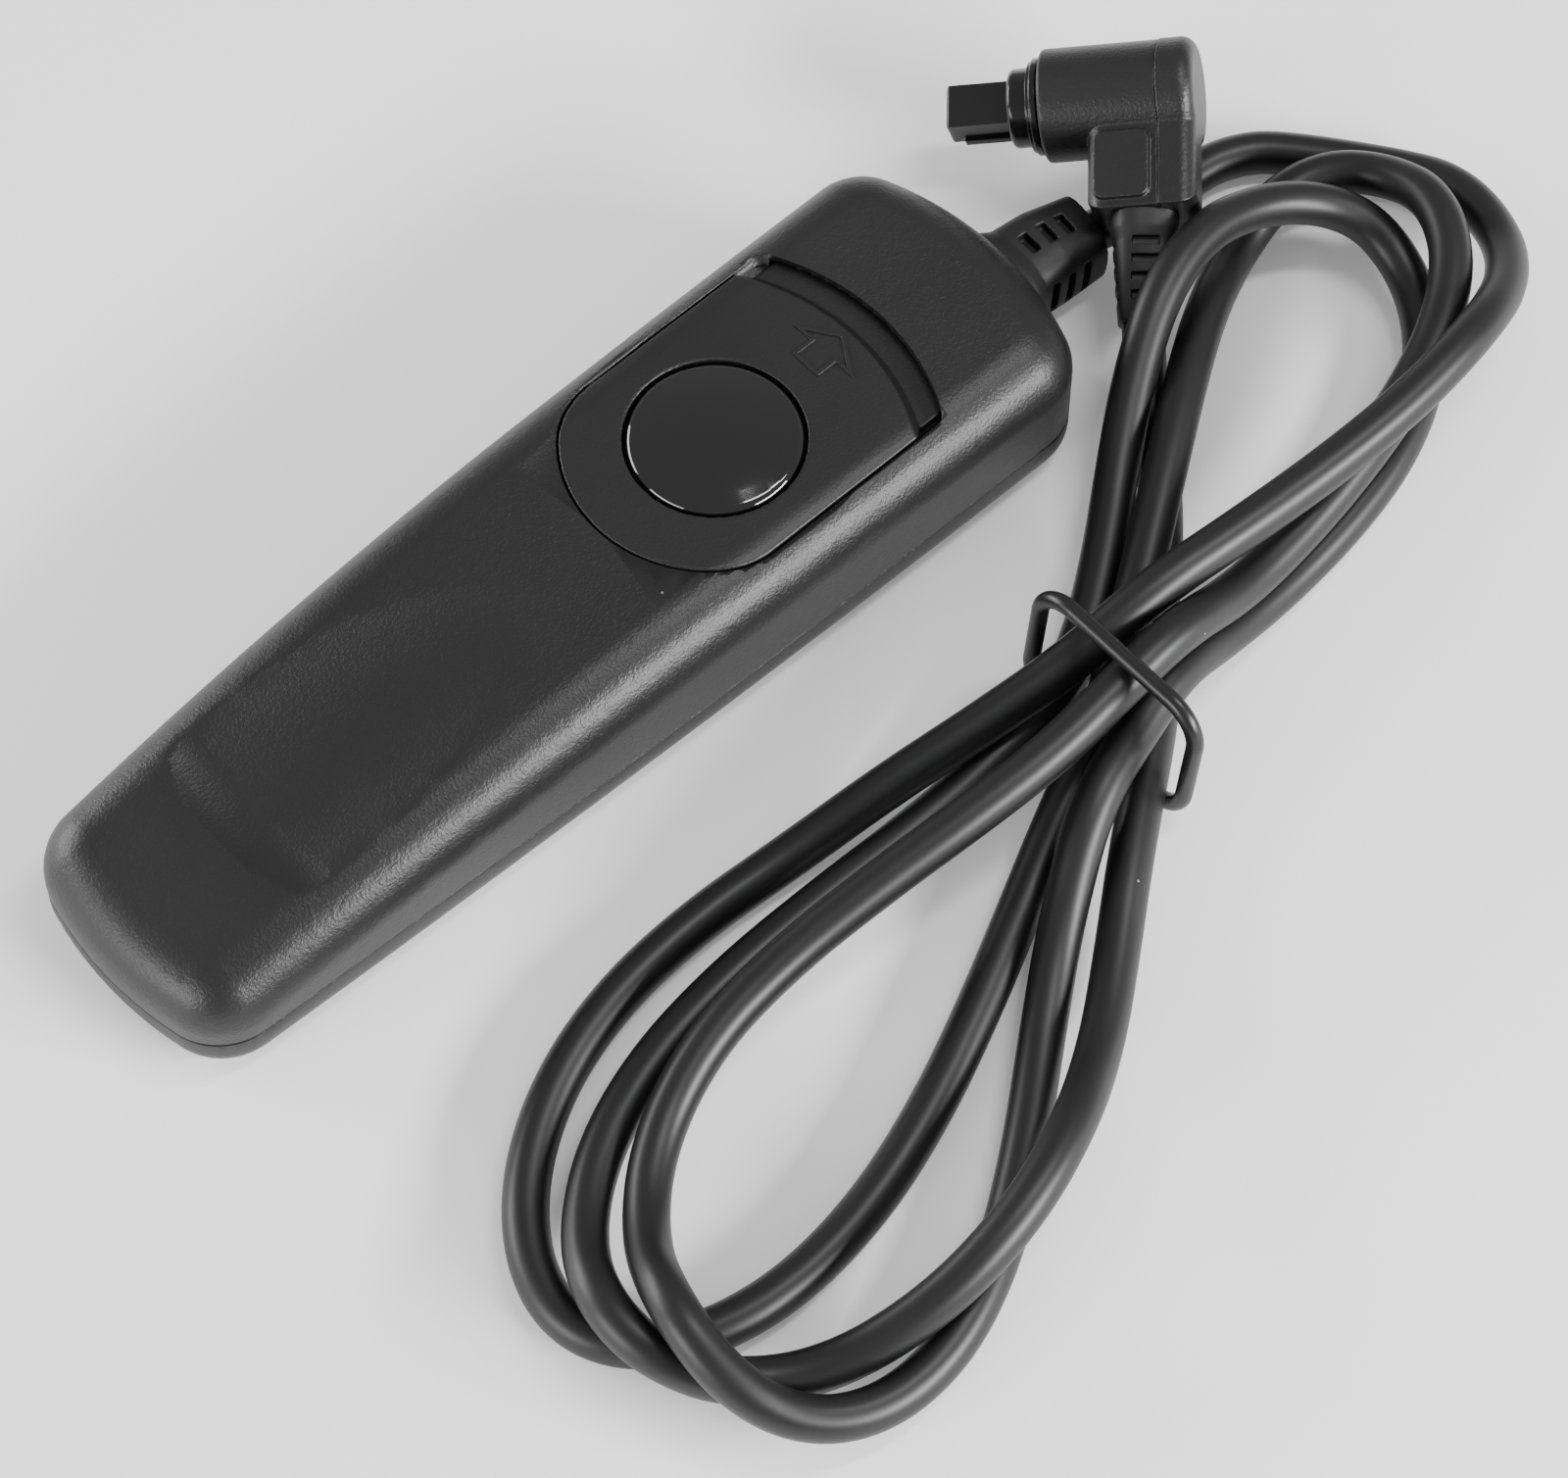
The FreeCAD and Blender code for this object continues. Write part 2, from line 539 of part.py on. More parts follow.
def lower_shell():
    shell = lower_blank(0.0).cut(lower_blank(WALL))
    rebate = grip_prism(-1.0, PARTING_HEIGHT - PARTING_GROOVE, PARTING_HEIGHT + 1).cut(
        grip_prism(PARTING_GROOVE, PARTING_HEIGHT - 1, PARTING_HEIGHT + 2))
    shell = shell.cut(rebate)
    for x, y in CASE_SCREW_PLACES:
        shell = shell.fuse(Part.makeCylinder(CASE_BOSS_RADIUS + 0.6, PARTING_HEIGHT - WALL + 0.1, vec(x,
            y, WALL - 0.1)))
    for x in (BASE_TAIL_X + 3, BASE_HEAD_X - 3):
        shell = shell.fuse(Part.makeBox(2, 2 * BASE_HALF_WIDTH, BASE_SEAT + 0.1, vec(x - 1,
            -BASE_HALF_WIDTH, WALL - 0.1)))
    cradle = Part.makeBox(CLAMP_WIDTH, 2 * CLAMP_SCREW_Y + 4, RELIEF_HEIGHT - CORD_RADIUS - WALL + 0.1,
        vec(CLAMP_X - CLAMP_WIDTH / 2, -CLAMP_SCREW_Y - 2, WALL - 0.1))
    shell = shell.fuse(cradle)
    for x, y in CASE_SCREW_PLACES:
        shell = shell.cut(Part.makeCylinder(CASE_SCREW_RADIUS + 0.1, PARTING_HEIGHT + 2, vec(x, y, -0.5)))
        shell = shell.cut(Part.makeCylinder(CASE_SCREW_HEAD_RADIUS + 0.1,
            CASE_SCREW_HEAD + CASE_SCREW_SINK, vec(x, y, 0)))
    for side in (-1, 1):
        shell = shell.cut(Part.makeCylinder(CLAMP_SCREW_RADIUS, 3, vec(CLAMP_X, side * CLAMP_SCREW_Y, 1.0)))
    return shell.cut(relief_hole()).removeSplitter()


def lock_slider():
    """The plate flush with the grip's top, its ramp and tongue under the lip, and the button's guide ring."""
    plate = pocket_prism(PLATE_CLEARANCE, PLATE_HEAD_X, PLATE_BASE,
        TOP_HEIGHT + 2).common(upper_blank(0.0, PARTING_HEIGHT))
    head_centre = PLATE_HEAD_X - LIP_RADIUS
    bevel = Part.makePolygon([
        vec(LIP_RADIUS - PLATE_BEVEL, 0, TOP_HEIGHT),
        vec(LIP_RADIUS, 0, TONGUE_TOP),
        vec(LIP_RADIUS + 2, 0, TONGUE_TOP),
        vec(LIP_RADIUS + 2, 0, TOP_HEIGHT + 1),
        vec(LIP_RADIUS - PLATE_BEVEL, 0, TOP_HEIGHT + 1),
        vec(LIP_RADIUS - PLATE_BEVEL, 0, TOP_HEIGHT),
    ])
    ring_tool = Part.Face(bevel).revolve(vec(0, 0, 0), vec(0, 0, 1), 360)
    ring_tool.translate(vec(head_centre, 0, 0))
    plate = plate.cut(ring_tool)
    half = POCKET_HALF_WIDTH - TONGUE_SIDE_INSET
    tongue_start = PLATE_HEAD_X - 3.0
    tip = LIP_X + TONGUE_LENGTH - TONGUE_TIP_GAP
    tongue = Part.makeBox(tip - tongue_start, 2 * half, TONGUE_TOP - PLATE_BASE, vec(tongue_start, -half,
        PLATE_BASE))
    round_head = Part.makeCylinder(LIP_RADIUS, 6, vec(tip - LIP_RADIUS, 0, PLATE_BASE - 1))
    body = plate.fuse(tongue.common(round_head))
    ring = Part.makeCylinder(BOSS_OUTER, PLATE_BASE - RETAINER_TOP_HEIGHT + 0.2, vec(BUTTON_X, 0,
        RETAINER_TOP_HEIGHT))
    body = body.fuse(ring)
    return body.cut(Part.makeCylinder(BOSS_INNER, 10, vec(BUTTON_X, 0,
        RETAINER_TOP_HEIGHT - 1))).removeSplitter()


def slider_retainer():
    """The dish that holds the plate down against the deck and carries the button's spring."""
    base = RETAINER_TOP_HEIGHT - RETAINER_THICKNESS
    dish = Part.makeCylinder(RETAINER_RADIUS, DECK_BASE - DECK_GAP - base, vec(BUTTON_X, 0, base))
    dish = dish.cut(Part.makeCylinder(RETAINER_RADIUS - RETAINER_RIM_WIDTH, 5, vec(BUTTON_X, 0,
        RETAINER_TOP_HEIGHT)))
    dish = dish.cut(Part.makeCylinder(STEM_RADIUS + STEM_CLEARANCE, 5, vec(BUTTON_X, 0, base - 1)))
    lug_slot = Part.makeBox(LUG_REACH + STEM_CLEARANCE, 2 * (LUG_HALF_WIDTH + STEM_CLEARANCE), 5,
                            vec(BUTTON_X, -LUG_HALF_WIDTH - STEM_CLEARANCE, base - 1))
    return dish.cut(lug_slot)


def detent_spring():
    """A shallow bent strip behind two posts, its bump by the retainer's edge."""
    far = DETENT_FAR
    near = -RETAINER_RADIUS - DETENT_GAP
    end = DETENT_REACH + DETENT_END_RUN
    xs = (-end, -DETENT_BEND_X, -DETENT_BUMP_X, DETENT_BUMP_X, DETENT_BEND_X, end)
    ys = (far, far + 0.05, near, near, far + 0.05, far)
    inner = [vec(BUTTON_X + x, y, DETENT_BASE) for x, y in zip(xs, ys)]
    outer = [vec(p.x, p.y - DETENT_THICKNESS, p.z) for p in reversed(inner)]
    face = Part.Face(Part.makePolygon(inner + outer + inner[:1]))
    return face.extrude(vec(0, 0, DETENT_WIDTH))


def release_button():
    """A domed cap with a short skirt, a stem and the lug that the hold catch traps."""
    dome_z = BUTTON_RIM_HEIGHT + BUTTON_DOME_RISE
    sphere = (BUTTON_RADIUS ** 2 + BUTTON_DOME_RISE ** 2) / (2 * BUTTON_DOME_RISE)

    def dome(r, drop):
        return dome_z - sphere + math.sqrt(sphere ** 2 - r ** 2) - drop

    rim = BUTTON_RADIUS - BUTTON_RIM_RADIUS
    under = BUTTON_RADIUS - BUTTON_WALL
    half = rim / 2
    points = {
        "top": vec(0, 0, dome_z),
        "mid": vec(half, 0, dome(half, 0)),
        "rim": vec(rim, 0, dome(rim, 0)),
        "bend": vec(rim + 0.62 * BUTTON_RIM_RADIUS, 0, dome(rim, 0) - 0.3 * BUTTON_RIM_RADIUS),
        "side": vec(BUTTON_RADIUS, 0, dome(rim, 0) - BUTTON_RIM_RADIUS * 1.1),
        "skirt": vec(BUTTON_RADIUS, 0, BUTTON_SKIRT_HEIGHT),
        "inner_skirt": vec(under, 0, BUTTON_SKIRT_HEIGHT),
        "inner_top": vec(under, 0, BUTTON_RIM_HEIGHT - BUTTON_WALL),
        "stem_top": vec(STEM_RADIUS, 0, BUTTON_RIM_HEIGHT - BUTTON_WALL),
        "stem_low": vec(STEM_RADIUS, 0, STEM_TIP_HEIGHT + STEM_TIP_CHAMFER),
        "tip_side": vec(STEM_RADIUS - STEM_TIP_CHAMFER, 0, STEM_TIP_HEIGHT),
        "tip": vec(0, 0, STEM_TIP_HEIGHT),
    }
    p = points
    edges = [
        Part.Arc(p["top"], p["mid"], p["rim"]).toShape(),
        Part.Arc(p["rim"], p["bend"], p["side"]).toShape(),
        Part.LineSegment(p["side"], p["skirt"]).toShape(),
        Part.LineSegment(p["skirt"], p["inner_skirt"]).toShape(),
        Part.LineSegment(p["inner_skirt"], p["inner_top"]).toShape(),
        Part.LineSegment(p["inner_top"], p["stem_top"]).toShape(),
        Part.LineSegment(p["stem_top"], p["stem_low"]).toShape(),
        Part.LineSegment(p["stem_low"], p["tip_side"]).toShape(),
        Part.LineSegment(p["tip_side"], p["tip"]).toShape(),
        Part.LineSegment(p["tip"], p["top"]).toShape(),
    ]
    body = Part.Face(Part.Wire(edges)).revolve(vec(0, 0, 0), vec(0, 0, 1), 360)
    lug = Part.makeBox(LUG_REACH, 2 * LUG_HALF_WIDTH, LUG_THICKNESS, vec(0, -LUG_HALF_WIDTH,
        LUG_BASE_HEIGHT))
    body = body.fuse(lug).removeSplitter()
    body.translate(vec(BUTTON_X, 0, 0))
    return body


def coil(centre_line, foot_radius, top_radius, foot_z, top_z, turns, wire):
    """One unbroken spring: biarcs between points of an even, widening climb, swept by the wire's circle."""
    steps = int(round(turns * COIL_STEPS))
    rise = (top_z - foot_z) / steps
    widen = (top_radius - foot_radius) / steps
    turn = 2 * math.pi / COIL_STEPS

    def place(step):
        radius = foot_radius + widen * step
        return vec(radius * math.cos(turn * step), radius * math.sin(turn * step), foot_z + rise * step)

    def heading(step):
        radius = foot_radius + widen * step
        c, s = math.cos(turn * step), math.sin(turn * step)
        way = vec(widen * c - radius * turn * s, widen * s + radius * turn * c, rise)
        way.normalize()
        return way

    arcs = []
    for step in range(steps):
        arcs += biarc(place(step), heading(step), place(step + 1), heading(step + 1))
    body = sweep_circle(Part.Wire(arcs), wire / 2)
    body.translate(centre_line)
    return body


def return_spring():
    foot = RETAINER_TOP_HEIGHT + SPRING_WIRE / 2 + 0.05
    top = BUTTON_RIM_HEIGHT - BUTTON_WALL - SPRING_WIRE / 2 - 0.05
    return coil(vec(BUTTON_X, 0, 0), SPRING_FOOT_RADIUS, SPRING_TOP_RADIUS, foot, top, SPRING_TURNS,
        SPRING_WIRE)


def stack_holes(radius, low, high):
    return [Part.makeCylinder(radius, high - low, vec(x, 0, low)) for x in STACK_SCREW_X]


BASE_LOW = WALL + BASE_SEAT
BASE_TOP = BASE_LOW + BASE_THICKNESS
LEAF_LEVELS = [BASE_TOP + 0.5 + k * LEAF_PITCH for k in range(3)]
LEAF_TAILS = [LEAF_TAIL_X - LEAF_TAIL_STEP * k for k in (2, 1, 0)]
STACK_TOP = LEAF_LEVELS[2] + LEAF_THICKNESS + 0.5


def contact_base():
    """The insulating bed of the contact set, with the hold catch standing at its head end."""
    bed = Part.makeBox(BASE_HEAD_X - BASE_TAIL_X, 2 * BASE_HALF_WIDTH, BASE_THICKNESS, vec(BASE_TAIL_X,
        -BASE_HALF_WIDTH, BASE_LOW))
    upright = Part.makeBox(CATCH_WALL, 5.0, CATCH_TOP - BASE_TOP + 0.1, vec(BASE_HEAD_X - CATCH_WALL,
        -2.5, BASE_TOP - 0.1))
    ledge = Part.makeBox(BASE_HEAD_X - CATCH_X, 5.0, CATCH_THICKNESS, vec(CATCH_X, -2.5,
        CATCH_TOP - CATCH_THICKNESS))
    return bed.fuse([upright, ledge]).removeSplitter().cut(stack_holes(STACK_SCREW_RADIUS, BASE_LOW - 1,
        BASE_TOP + 1)[0]).cut(
        stack_holes(STACK_SCREW_RADIUS, BASE_LOW - 1, BASE_TOP + 1)[1])


def leaf(number, head_x, half_width):
    """A thin contact strip with a tapered free end and a solder tail that clears the strips above."""
    level, tail = LEAF_LEVELS[number], LEAF_TAILS[number]
    outline = [vec(tail, -1.0), vec(STACK_TAIL_X, -half_width), vec(STACK_HEAD_X, -half_width),
        vec(head_x - 2, -half_width * 0.7),
               vec(head_x, -half_width * 0.7), vec(head_x, half_width * 0.7), vec(head_x - 2,
                   half_width * 0.7),
               vec(STACK_HEAD_X, half_width), vec(STACK_TAIL_X, half_width), vec(tail, 1.0)]
    strip = prism(Part.makePolygon(outline + outline[:1]), level, level + LEAF_THICKNESS)
    for hole in stack_holes(STACK_SCREW_RADIUS + 0.3, level - 1, level + 1):
        strip = strip.cut(hole)
    return strip


def leaf_spacers():
    """Insulating pads under, between and over the three leaves."""
    levels = [BASE_TOP] + [z + LEAF_THICKNESS for z in LEAF_LEVELS]
    tops = LEAF_LEVELS + [STACK_TOP]
    pads = []
    for low, high in zip(levels, tops):
        pad = Part.makeBox(STACK_HEAD_X - STACK_TAIL_X, 2 * LEAF_HALF_WIDTH + 1, high - low,
            vec(STACK_TAIL_X, -LEAF_HALF_WIDTH - 0.5, low))
        for hole in stack_holes(STACK_SCREW_RADIUS + 0.05, low - 1, high + 1):
            pad = pad.cut(hole)
        pads.append(pad)
    return Part.makeCompound(pads)


def screw(radius, head_radius, head, length):
    """A cross-headed screw pointing along -Z from the underside of its head at z = 0."""
    shank = Part.makeCylinder(radius, length, vec(0, 0, -length))
    top = Part.makeCylinder(head_radius, head, vec(0, 0, 0))
    top = top.makeFillet(head * 0.3, [e for e in top.Edges if e.BoundBox.ZMin > head - 0.01])
    body = top.fuse(shank)
    for angle in (0, 90):
        bar = Part.makeBox(head_radius * 1.3, CROSS_SLOT_WIDTH, CROSS_SLOT_DEPTH + 1,
            vec(-head_radius * 0.65, -CROSS_SLOT_WIDTH / 2, head - CROSS_SLOT_DEPTH))
        bar.rotate(vec(0, 0, 0), vec(0, 0, 1), angle)
        body = body.cut(bar)
    return body.removeSplitter()


def contact_screws():
    out = []
    for x in STACK_SCREW_X:
        item = screw(STACK_SCREW_RADIUS - 0.03, STACK_HEAD_RADIUS, 0.8, STACK_TOP - BASE_LOW)
        item.translate(vec(x, 0, STACK_TOP))
        out.append(item)
    return Part.makeCompound(out)


def case_screws():
    out = []
    for x, y in CASE_SCREW_PLACES:
        item = screw(CASE_SCREW_RADIUS - 0.03, CASE_SCREW_HEAD_RADIUS, CASE_SCREW_HEAD, CASE_SCREW_LENGTH)
        item.rotate(vec(0, 0, 0), vec(1, 0, 0), 180)
        item.translate(vec(x, y, CASE_SCREW_SINK + CASE_SCREW_HEAD))
        out.append(item)
    return Part.makeCompound(out)


def solder_joints():
    """A small dome of solder on each leaf's tail."""
    out = []
    for k, level in enumerate(LEAF_LEVELS):
        ball = Part.makeSphere(SOLDER_RADIUS * 0.45, vec(LEAF_TAILS[k] + 0.75, (k - 1) * 0.55,
            level + LEAF_THICKNESS), vec(0, 0, 1), 0, 90, 360)
        out.append(ball)
    return Part.makeCompound(out)


def tangent_path(points):
    """Straight runs joined by tangent arcs, each arc as large as its two runs allow."""
    pts = [vec(*p) for p in points]
    edges = []
    radii = []
    last = pts[0]
    for k in range(1, len(pts) - 1):
        back, ahead = pts[k - 1] - pts[k], pts[k + 1] - pts[k]
        reach = 0.45 * min(back.Length, ahead.Length)
        back.normalize()
        ahead.normalize()
        turn = math.pi - math.acos(max(-1.0, min(1.0, back.dot(ahead))))
        radii.append(reach / math.tan(turn / 2))
        start, end = pts[k] + back * reach, pts[k] + ahead * reach
        middle = back + ahead
        middle.normalize()
        to_centre = math.hypot(reach, radii[-1])
        peak = pts[k] + middle * (to_centre - radii[-1])
        edges.append(Part.LineSegment(last, start).toShape())
        edges.append(Part.Arc(start, peak, end).toShape())
        last = end
    edges.append(Part.LineSegment(last, pts[-1]).toShape())
    return Part.Wire(edges), radii


def sweep_circle(path, radius):
    first = path.OrderedEdges[0]
    start = first.valueAt(first.FirstParameter)
    heading = first.tangentAt(first.FirstParameter)
    profile = Part.Wire(Part.Circle(start, heading, radius).toShape())
    return path.makePipeShell([profile], True, False)


def tube(points, radius, name):
    """A plain tube along a route, with its radii and volume printed."""
    path, radii = tangent_path(points)
    solid = sweep_circle(path, radius)
    expected = math.pi * radius ** 2 * path.Length
    print(name, "length", round(path.Length, 1), "least radius", round(min(radii), 1), "volume share",
        round(solid.Volume / expected, 4))
    return solid


def place_at(origin, along, side, up):
    return Placement(origin, Rotation(along, side, up, "XYZ"))


def ring_section(origin, side, up, half_side, half_up):
    """A closed smooth section, slightly squarer than an ellipse."""
    points = []
    for k in range(16):
        angle = 2 * math.pi * k / 16
        c, s = math.cos(angle), math.sin(angle)
        grow = (abs(c) ** SLEEVE_POWER + abs(s) ** SLEEVE_POWER) ** (-1 / SLEEVE_POWER)
        points.append(origin + side * (half_side * c * grow) + up * (half_up * s * grow))
    curve = Part.BSplineCurve()
    curve.interpolate(Points=points, PeriodicFlag=True)
    return Part.Wire(curve.toShape())


def sleeve(sections, frame_at):
    """A smooth body through sections given as (distance, half width, half height)."""
    wires = []
    for distance, half_side, half_up in sections:
        origin, along, side, up = frame_at(distance)
        wires.append(ring_section(origin, side, up, half_side, half_up))
    return Part.makeLoft(wires, True, True)


def half_sizes(sections, distance):
    for (d0, s0, u0), (d1, s1, u1) in zip(sections, sections[1:]):
        if distance <= d1:
            share = (distance - d0) / (d1 - d0)
            return s0 + (s1 - s0) * share, u0 + (u1 - u0) * share
    return sections[-1][1:]


def cut_slots(body, sections, frame_at, stations, width, depth, side_length, top_length):
    """Four shallow slots round the body at each station, so that it can flex."""
    for station in stations:
        origin, along, side, up = frame_at(station)
        half_side, half_up = half_sizes(sections, station)
        for sign in (-1, 1):
            flank = Part.makeBox(width, 2 * depth, side_length, vec(-width / 2, sign * half_side - depth,
                -side_length / 2))
            flat = Part.makeBox(width, top_length, 2 * depth, vec(-width / 2, -top_length / 2,
                sign * half_up - depth))
            for block in (flank, flat):
                block.Placement = place_at(origin, along, side, up)
                body = body.cut(block)
    return body


def grip_relief_frame(distance):
    """Centre and directions of the grip's strain relief at a distance along its gently bent line."""
    total = RELIEF_SECTIONS[-1][0]
    share = max(0.0, distance / total)
    side_shift = RELIEF_END[1]
    end_yaw = 2 * math.asin(side_shift / total)
    yaw = end_yaw * share
    fall = (RELIEF_END[2] - RELIEF_HEIGHT) / total
    origin = vec(HEAD_X + RELIEF_START_GAP + distance * math.cos(yaw / 2), distance * math.sin(yaw / 2),
        RELIEF_HEIGHT + fall * max(distance, 0))
    along = vec(math.cos(yaw), math.sin(yaw), fall if distance > 0 else 0)
    along.normalize()
    side = vec(0, 0, 1).cross(along)
    side.normalize()
    return origin, along, side, along.cross(side)


def handle_strain_relief():
    """Collar, flexible slotted sleeve, neck through the wall and the anchor plate behind it."""
    first = (-1.2,) + RELIEF_SECTIONS[0][1:]
    body = sleeve((first,) + RELIEF_SECTIONS, grip_relief_frame)
    body = cut_slots(body, RELIEF_SECTIONS, grip_relief_frame, RELIEF_SLOT_STATIONS,
                     RELIEF_SLOT_WIDTH, RELIEF_SLOT_DEPTH, RELIEF_SLOT_SIDE, RELIEF_SLOT_TOP)
    body = body.cut(upper_blank(0.0, PARTING_HEIGHT)).cut(grip_prism(0.0, 0.0, PARTING_HEIGHT))
    anchor_x = HEAD_X - WALL - 0.7
    half_y, half_z = RELIEF_ANCHOR_HALF
    neck = Part.makeCylinder(RELIEF_NECK_RADIUS, HEAD_X + 0.6 - anchor_x, vec(anchor_x, 0,
        RELIEF_HEIGHT), vec(1, 0, 0))
    anchor = Part.makeBox(RELIEF_ANCHOR_THICKNESS, 2 * half_y, 2 * half_z,
        vec(anchor_x - RELIEF_ANCHOR_THICKNESS, -half_y, RELIEF_HEIGHT - half_z))
    return body.fuse([neck, anchor]).removeSplitter()


def cord_jacket_end():
    """The cord's jacket inside the grip, from the clamp to the anchor plate."""
    start = CLAMP_X - CLAMP_WIDTH / 2 - 0.8
    end = HEAD_X - WALL - 0.7 - RELIEF_ANCHOR_THICKNESS
    return Part.makeCylinder(CORD_RADIUS, end - start, vec(start, 0, RELIEF_HEIGHT), vec(1, 0, 0))


def cord_clamp():
    """A saddle over the jacket, held by a screw at each side."""
    foot_z = RELIEF_HEIGHT - CORD_RADIUS
    foot = Part.makeBox(CLAMP_WIDTH, 2 * CLAMP_SCREW_Y + 3.4, CLAMP_THICKNESS,
        vec(CLAMP_X - CLAMP_WIDTH / 2, -CLAMP_SCREW_Y - 1.7, foot_z))
    arch = Part.makeCylinder(CORD_RADIUS + CLAMP_THICKNESS, CLAMP_WIDTH, vec(CLAMP_X - CLAMP_WIDTH / 2,
        0, RELIEF_HEIGHT), vec(1, 0, 0))
    sides = Part.makeBox(CLAMP_WIDTH, 2 * (CORD_RADIUS + CLAMP_THICKNESS), CORD_RADIUS,
        vec(CLAMP_X - CLAMP_WIDTH / 2, -CORD_RADIUS - CLAMP_THICKNESS, foot_z))
    body = foot.fuse([arch, sides])
    below = Part.makeBox(CLAMP_WIDTH + 2, 4 * CLAMP_SCREW_Y, 10, vec(CLAMP_X - CLAMP_WIDTH,
        -2 * CLAMP_SCREW_Y, foot_z - 10))
    bore = Part.makeCylinder(CORD_RADIUS, CLAMP_WIDTH + 2, vec(CLAMP_X - CLAMP_WIDTH, 0, RELIEF_HEIGHT),
        vec(1, 0, 0))
    groove = Part.makeBox(CLAMP_WIDTH + 2, CORD_DIAMETER, CORD_RADIUS + 1, vec(CLAMP_X - CLAMP_WIDTH,
        -CORD_RADIUS, foot_z - 1))
    body = body.cut(below).cut(bore).cut(groove)
    for side in (-1, 1):
        body = body.cut(Part.makeCylinder(CLAMP_SCREW_RADIUS + 0.05, 4, vec(CLAMP_X,
            side * CLAMP_SCREW_Y, foot_z - 1)))
    return body.removeSplitter()


def clamp_screws():
    out = []
    for side in (-1, 1):
        item = screw(CLAMP_SCREW_RADIUS - 0.03, 1.6, 0.8,
            CLAMP_THICKNESS + RELIEF_HEIGHT - CORD_RADIUS - WALL)
        item.translate(vec(CLAMP_X, side * CLAMP_SCREW_Y, RELIEF_HEIGHT - CORD_RADIUS + CLAMP_THICKNESS))
        out.append(item)
    return Part.makeCompound(out)


def lead_wires():
    """Three thin wires from the clamp, along the grip's side, to the solder joints."""
    out = []
    head = CLAMP_X - CLAMP_WIDTH / 2 - 0.8
    for k, level in enumerate(LEAF_LEVELS):
        shift = (k - 1) * 1.2
        side_y = 10.4 + 1.25 * (k - 1)
        end_z = level + LEAF_THICKNESS + SOLDER_RADIUS * 0.45 + WIRE_RADIUS + 0.02
        route = [
            (head, shift, RELIEF_HEIGHT), (head - 3, shift, RELIEF_HEIGHT), (head - 7, side_y,
                RELIEF_HEIGHT - 0.2),
            (head - 16, side_y, 4.6), (-10 - 1.5 * k, side_y, 4.6), (-16 - 1.4 * k, 6.0, 5.4),
            (-16 - 1.4 * k, 1.0 + 0.5 * k, end_z), (LEAF_TAILS[k] - 1.6, (k - 1) * 0.55, end_z),
            (LEAF_TAILS[k] + 0.9, (k - 1) * 0.55, end_z),
        ]
        path, radii = tangent_path(route)
        out.append(sweep_circle(path, WIRE_RADIUS))
    return Part.makeCompound(out)


PLUG_PLACE = Placement(vec(*PLUG_CENTRE), Rotation(PLUG_BEARING, PLUG_NOSE_DIP, PLUG_STEM_ROLL))


def placed(shape):
    out = shape.copy()
    out.Placement = PLUG_PLACE.multiply(out.Placement)
    return out


def barrel(radius, back, front):
    return Part.makeCylinder(radius, front - back, vec(back, 0, 0), vec(1, 0, 0))


def edges_along_y(solid, x):
    """Edges parallel to the stem that lie on the plane of the given x."""
    picked = []
    for edge in solid.Edges:
        box = edge.BoundBox
        if max(box.XLength, box.ZLength) < 1e-4 and abs(box.XMin - x) < 1e-3:
            picked.append(edge)
    return picked


def stem_corner(solid):
    """The upright edge at the stem's end, on the nose's side."""
    return [e for e in upright_edges(solid) if e.BoundBox.XMin > STEM_FRONT
        - 0.01 and e.BoundBox.YMin > STEM_LENGTH - 0.01]


def plug_neck():
    """The strain relief's root inside the stem, shared by both halves of the plug."""
    return Part.makeCylinder(PLUG_NECK_RADIUS, PLUG_NECK_LENGTH, vec(0, STEM_LENGTH - PLUG_NECK_LENGTH,
        0), vec(0, 1, 0))


def plug_housing():
    """The front half: barrel with the collar's well, half of the stem and the raised panel."""
    stem = Part.makeBox(STEM_FRONT - BARREL_BACK, STEM_LENGTH, STEM_TOP + STEM_UNDER, vec(BARREL_BACK, 0,
        -STEM_UNDER))
    stem = stem.makeFillet(STEM_EDGE_RADIUS, edges_along_y(stem, STEM_FRONT) + stem_corner(stem))
    panel = Part.makeBox(PANEL_FRONT - PANEL_BACK, PANEL_END - PANEL_START, PANEL_RAISE + 0.1,
                         vec(PANEL_BACK, PANEL_START, STEM_TOP - 0.1))
    panel = panel.makeFillet(PANEL_CORNER_RADIUS, [e for e in panel.Edges if e.BoundBox.ZLength > 0.3])
    tube_body = barrel(BARREL_RADIUS, BARREL_BACK, BARREL_FRONT)
    tube_body = tube_body.makeFillet(BARREL_EDGE_RADIUS,
        [e for e in tube_body.Edges if e.BoundBox.XMin > BARREL_FRONT - 0.01])
    body = tube_body.fuse([stem, panel]).removeSplitter()
    body = body.cut(barrel(COLLAR_WELL_RADIUS, COLLAR_WELL_FLOOR, BARREL_FRONT + 1))
    root = Part.makeBox(COLLAR_WELL_FLOOR + 1 - NOSE_ROOT, 2 * NOSE_HALF_WIDTH, 2 * NOSE_HALF_HEIGHT,
        vec(NOSE_ROOT, -NOSE_HALF_WIDTH, -NOSE_HALF_HEIGHT))
    return body.cut(root).cut(grown_neck()).removeSplitter()


def grown_neck():
    return Part.makeCylinder(PLUG_NECK_RADIUS + PLUG_NECK_CLEARANCE, PLUG_NECK_LENGTH + 1, vec(0,
        STEM_LENGTH - PLUG_NECK_LENGTH, 0), vec(0, 1, 0))


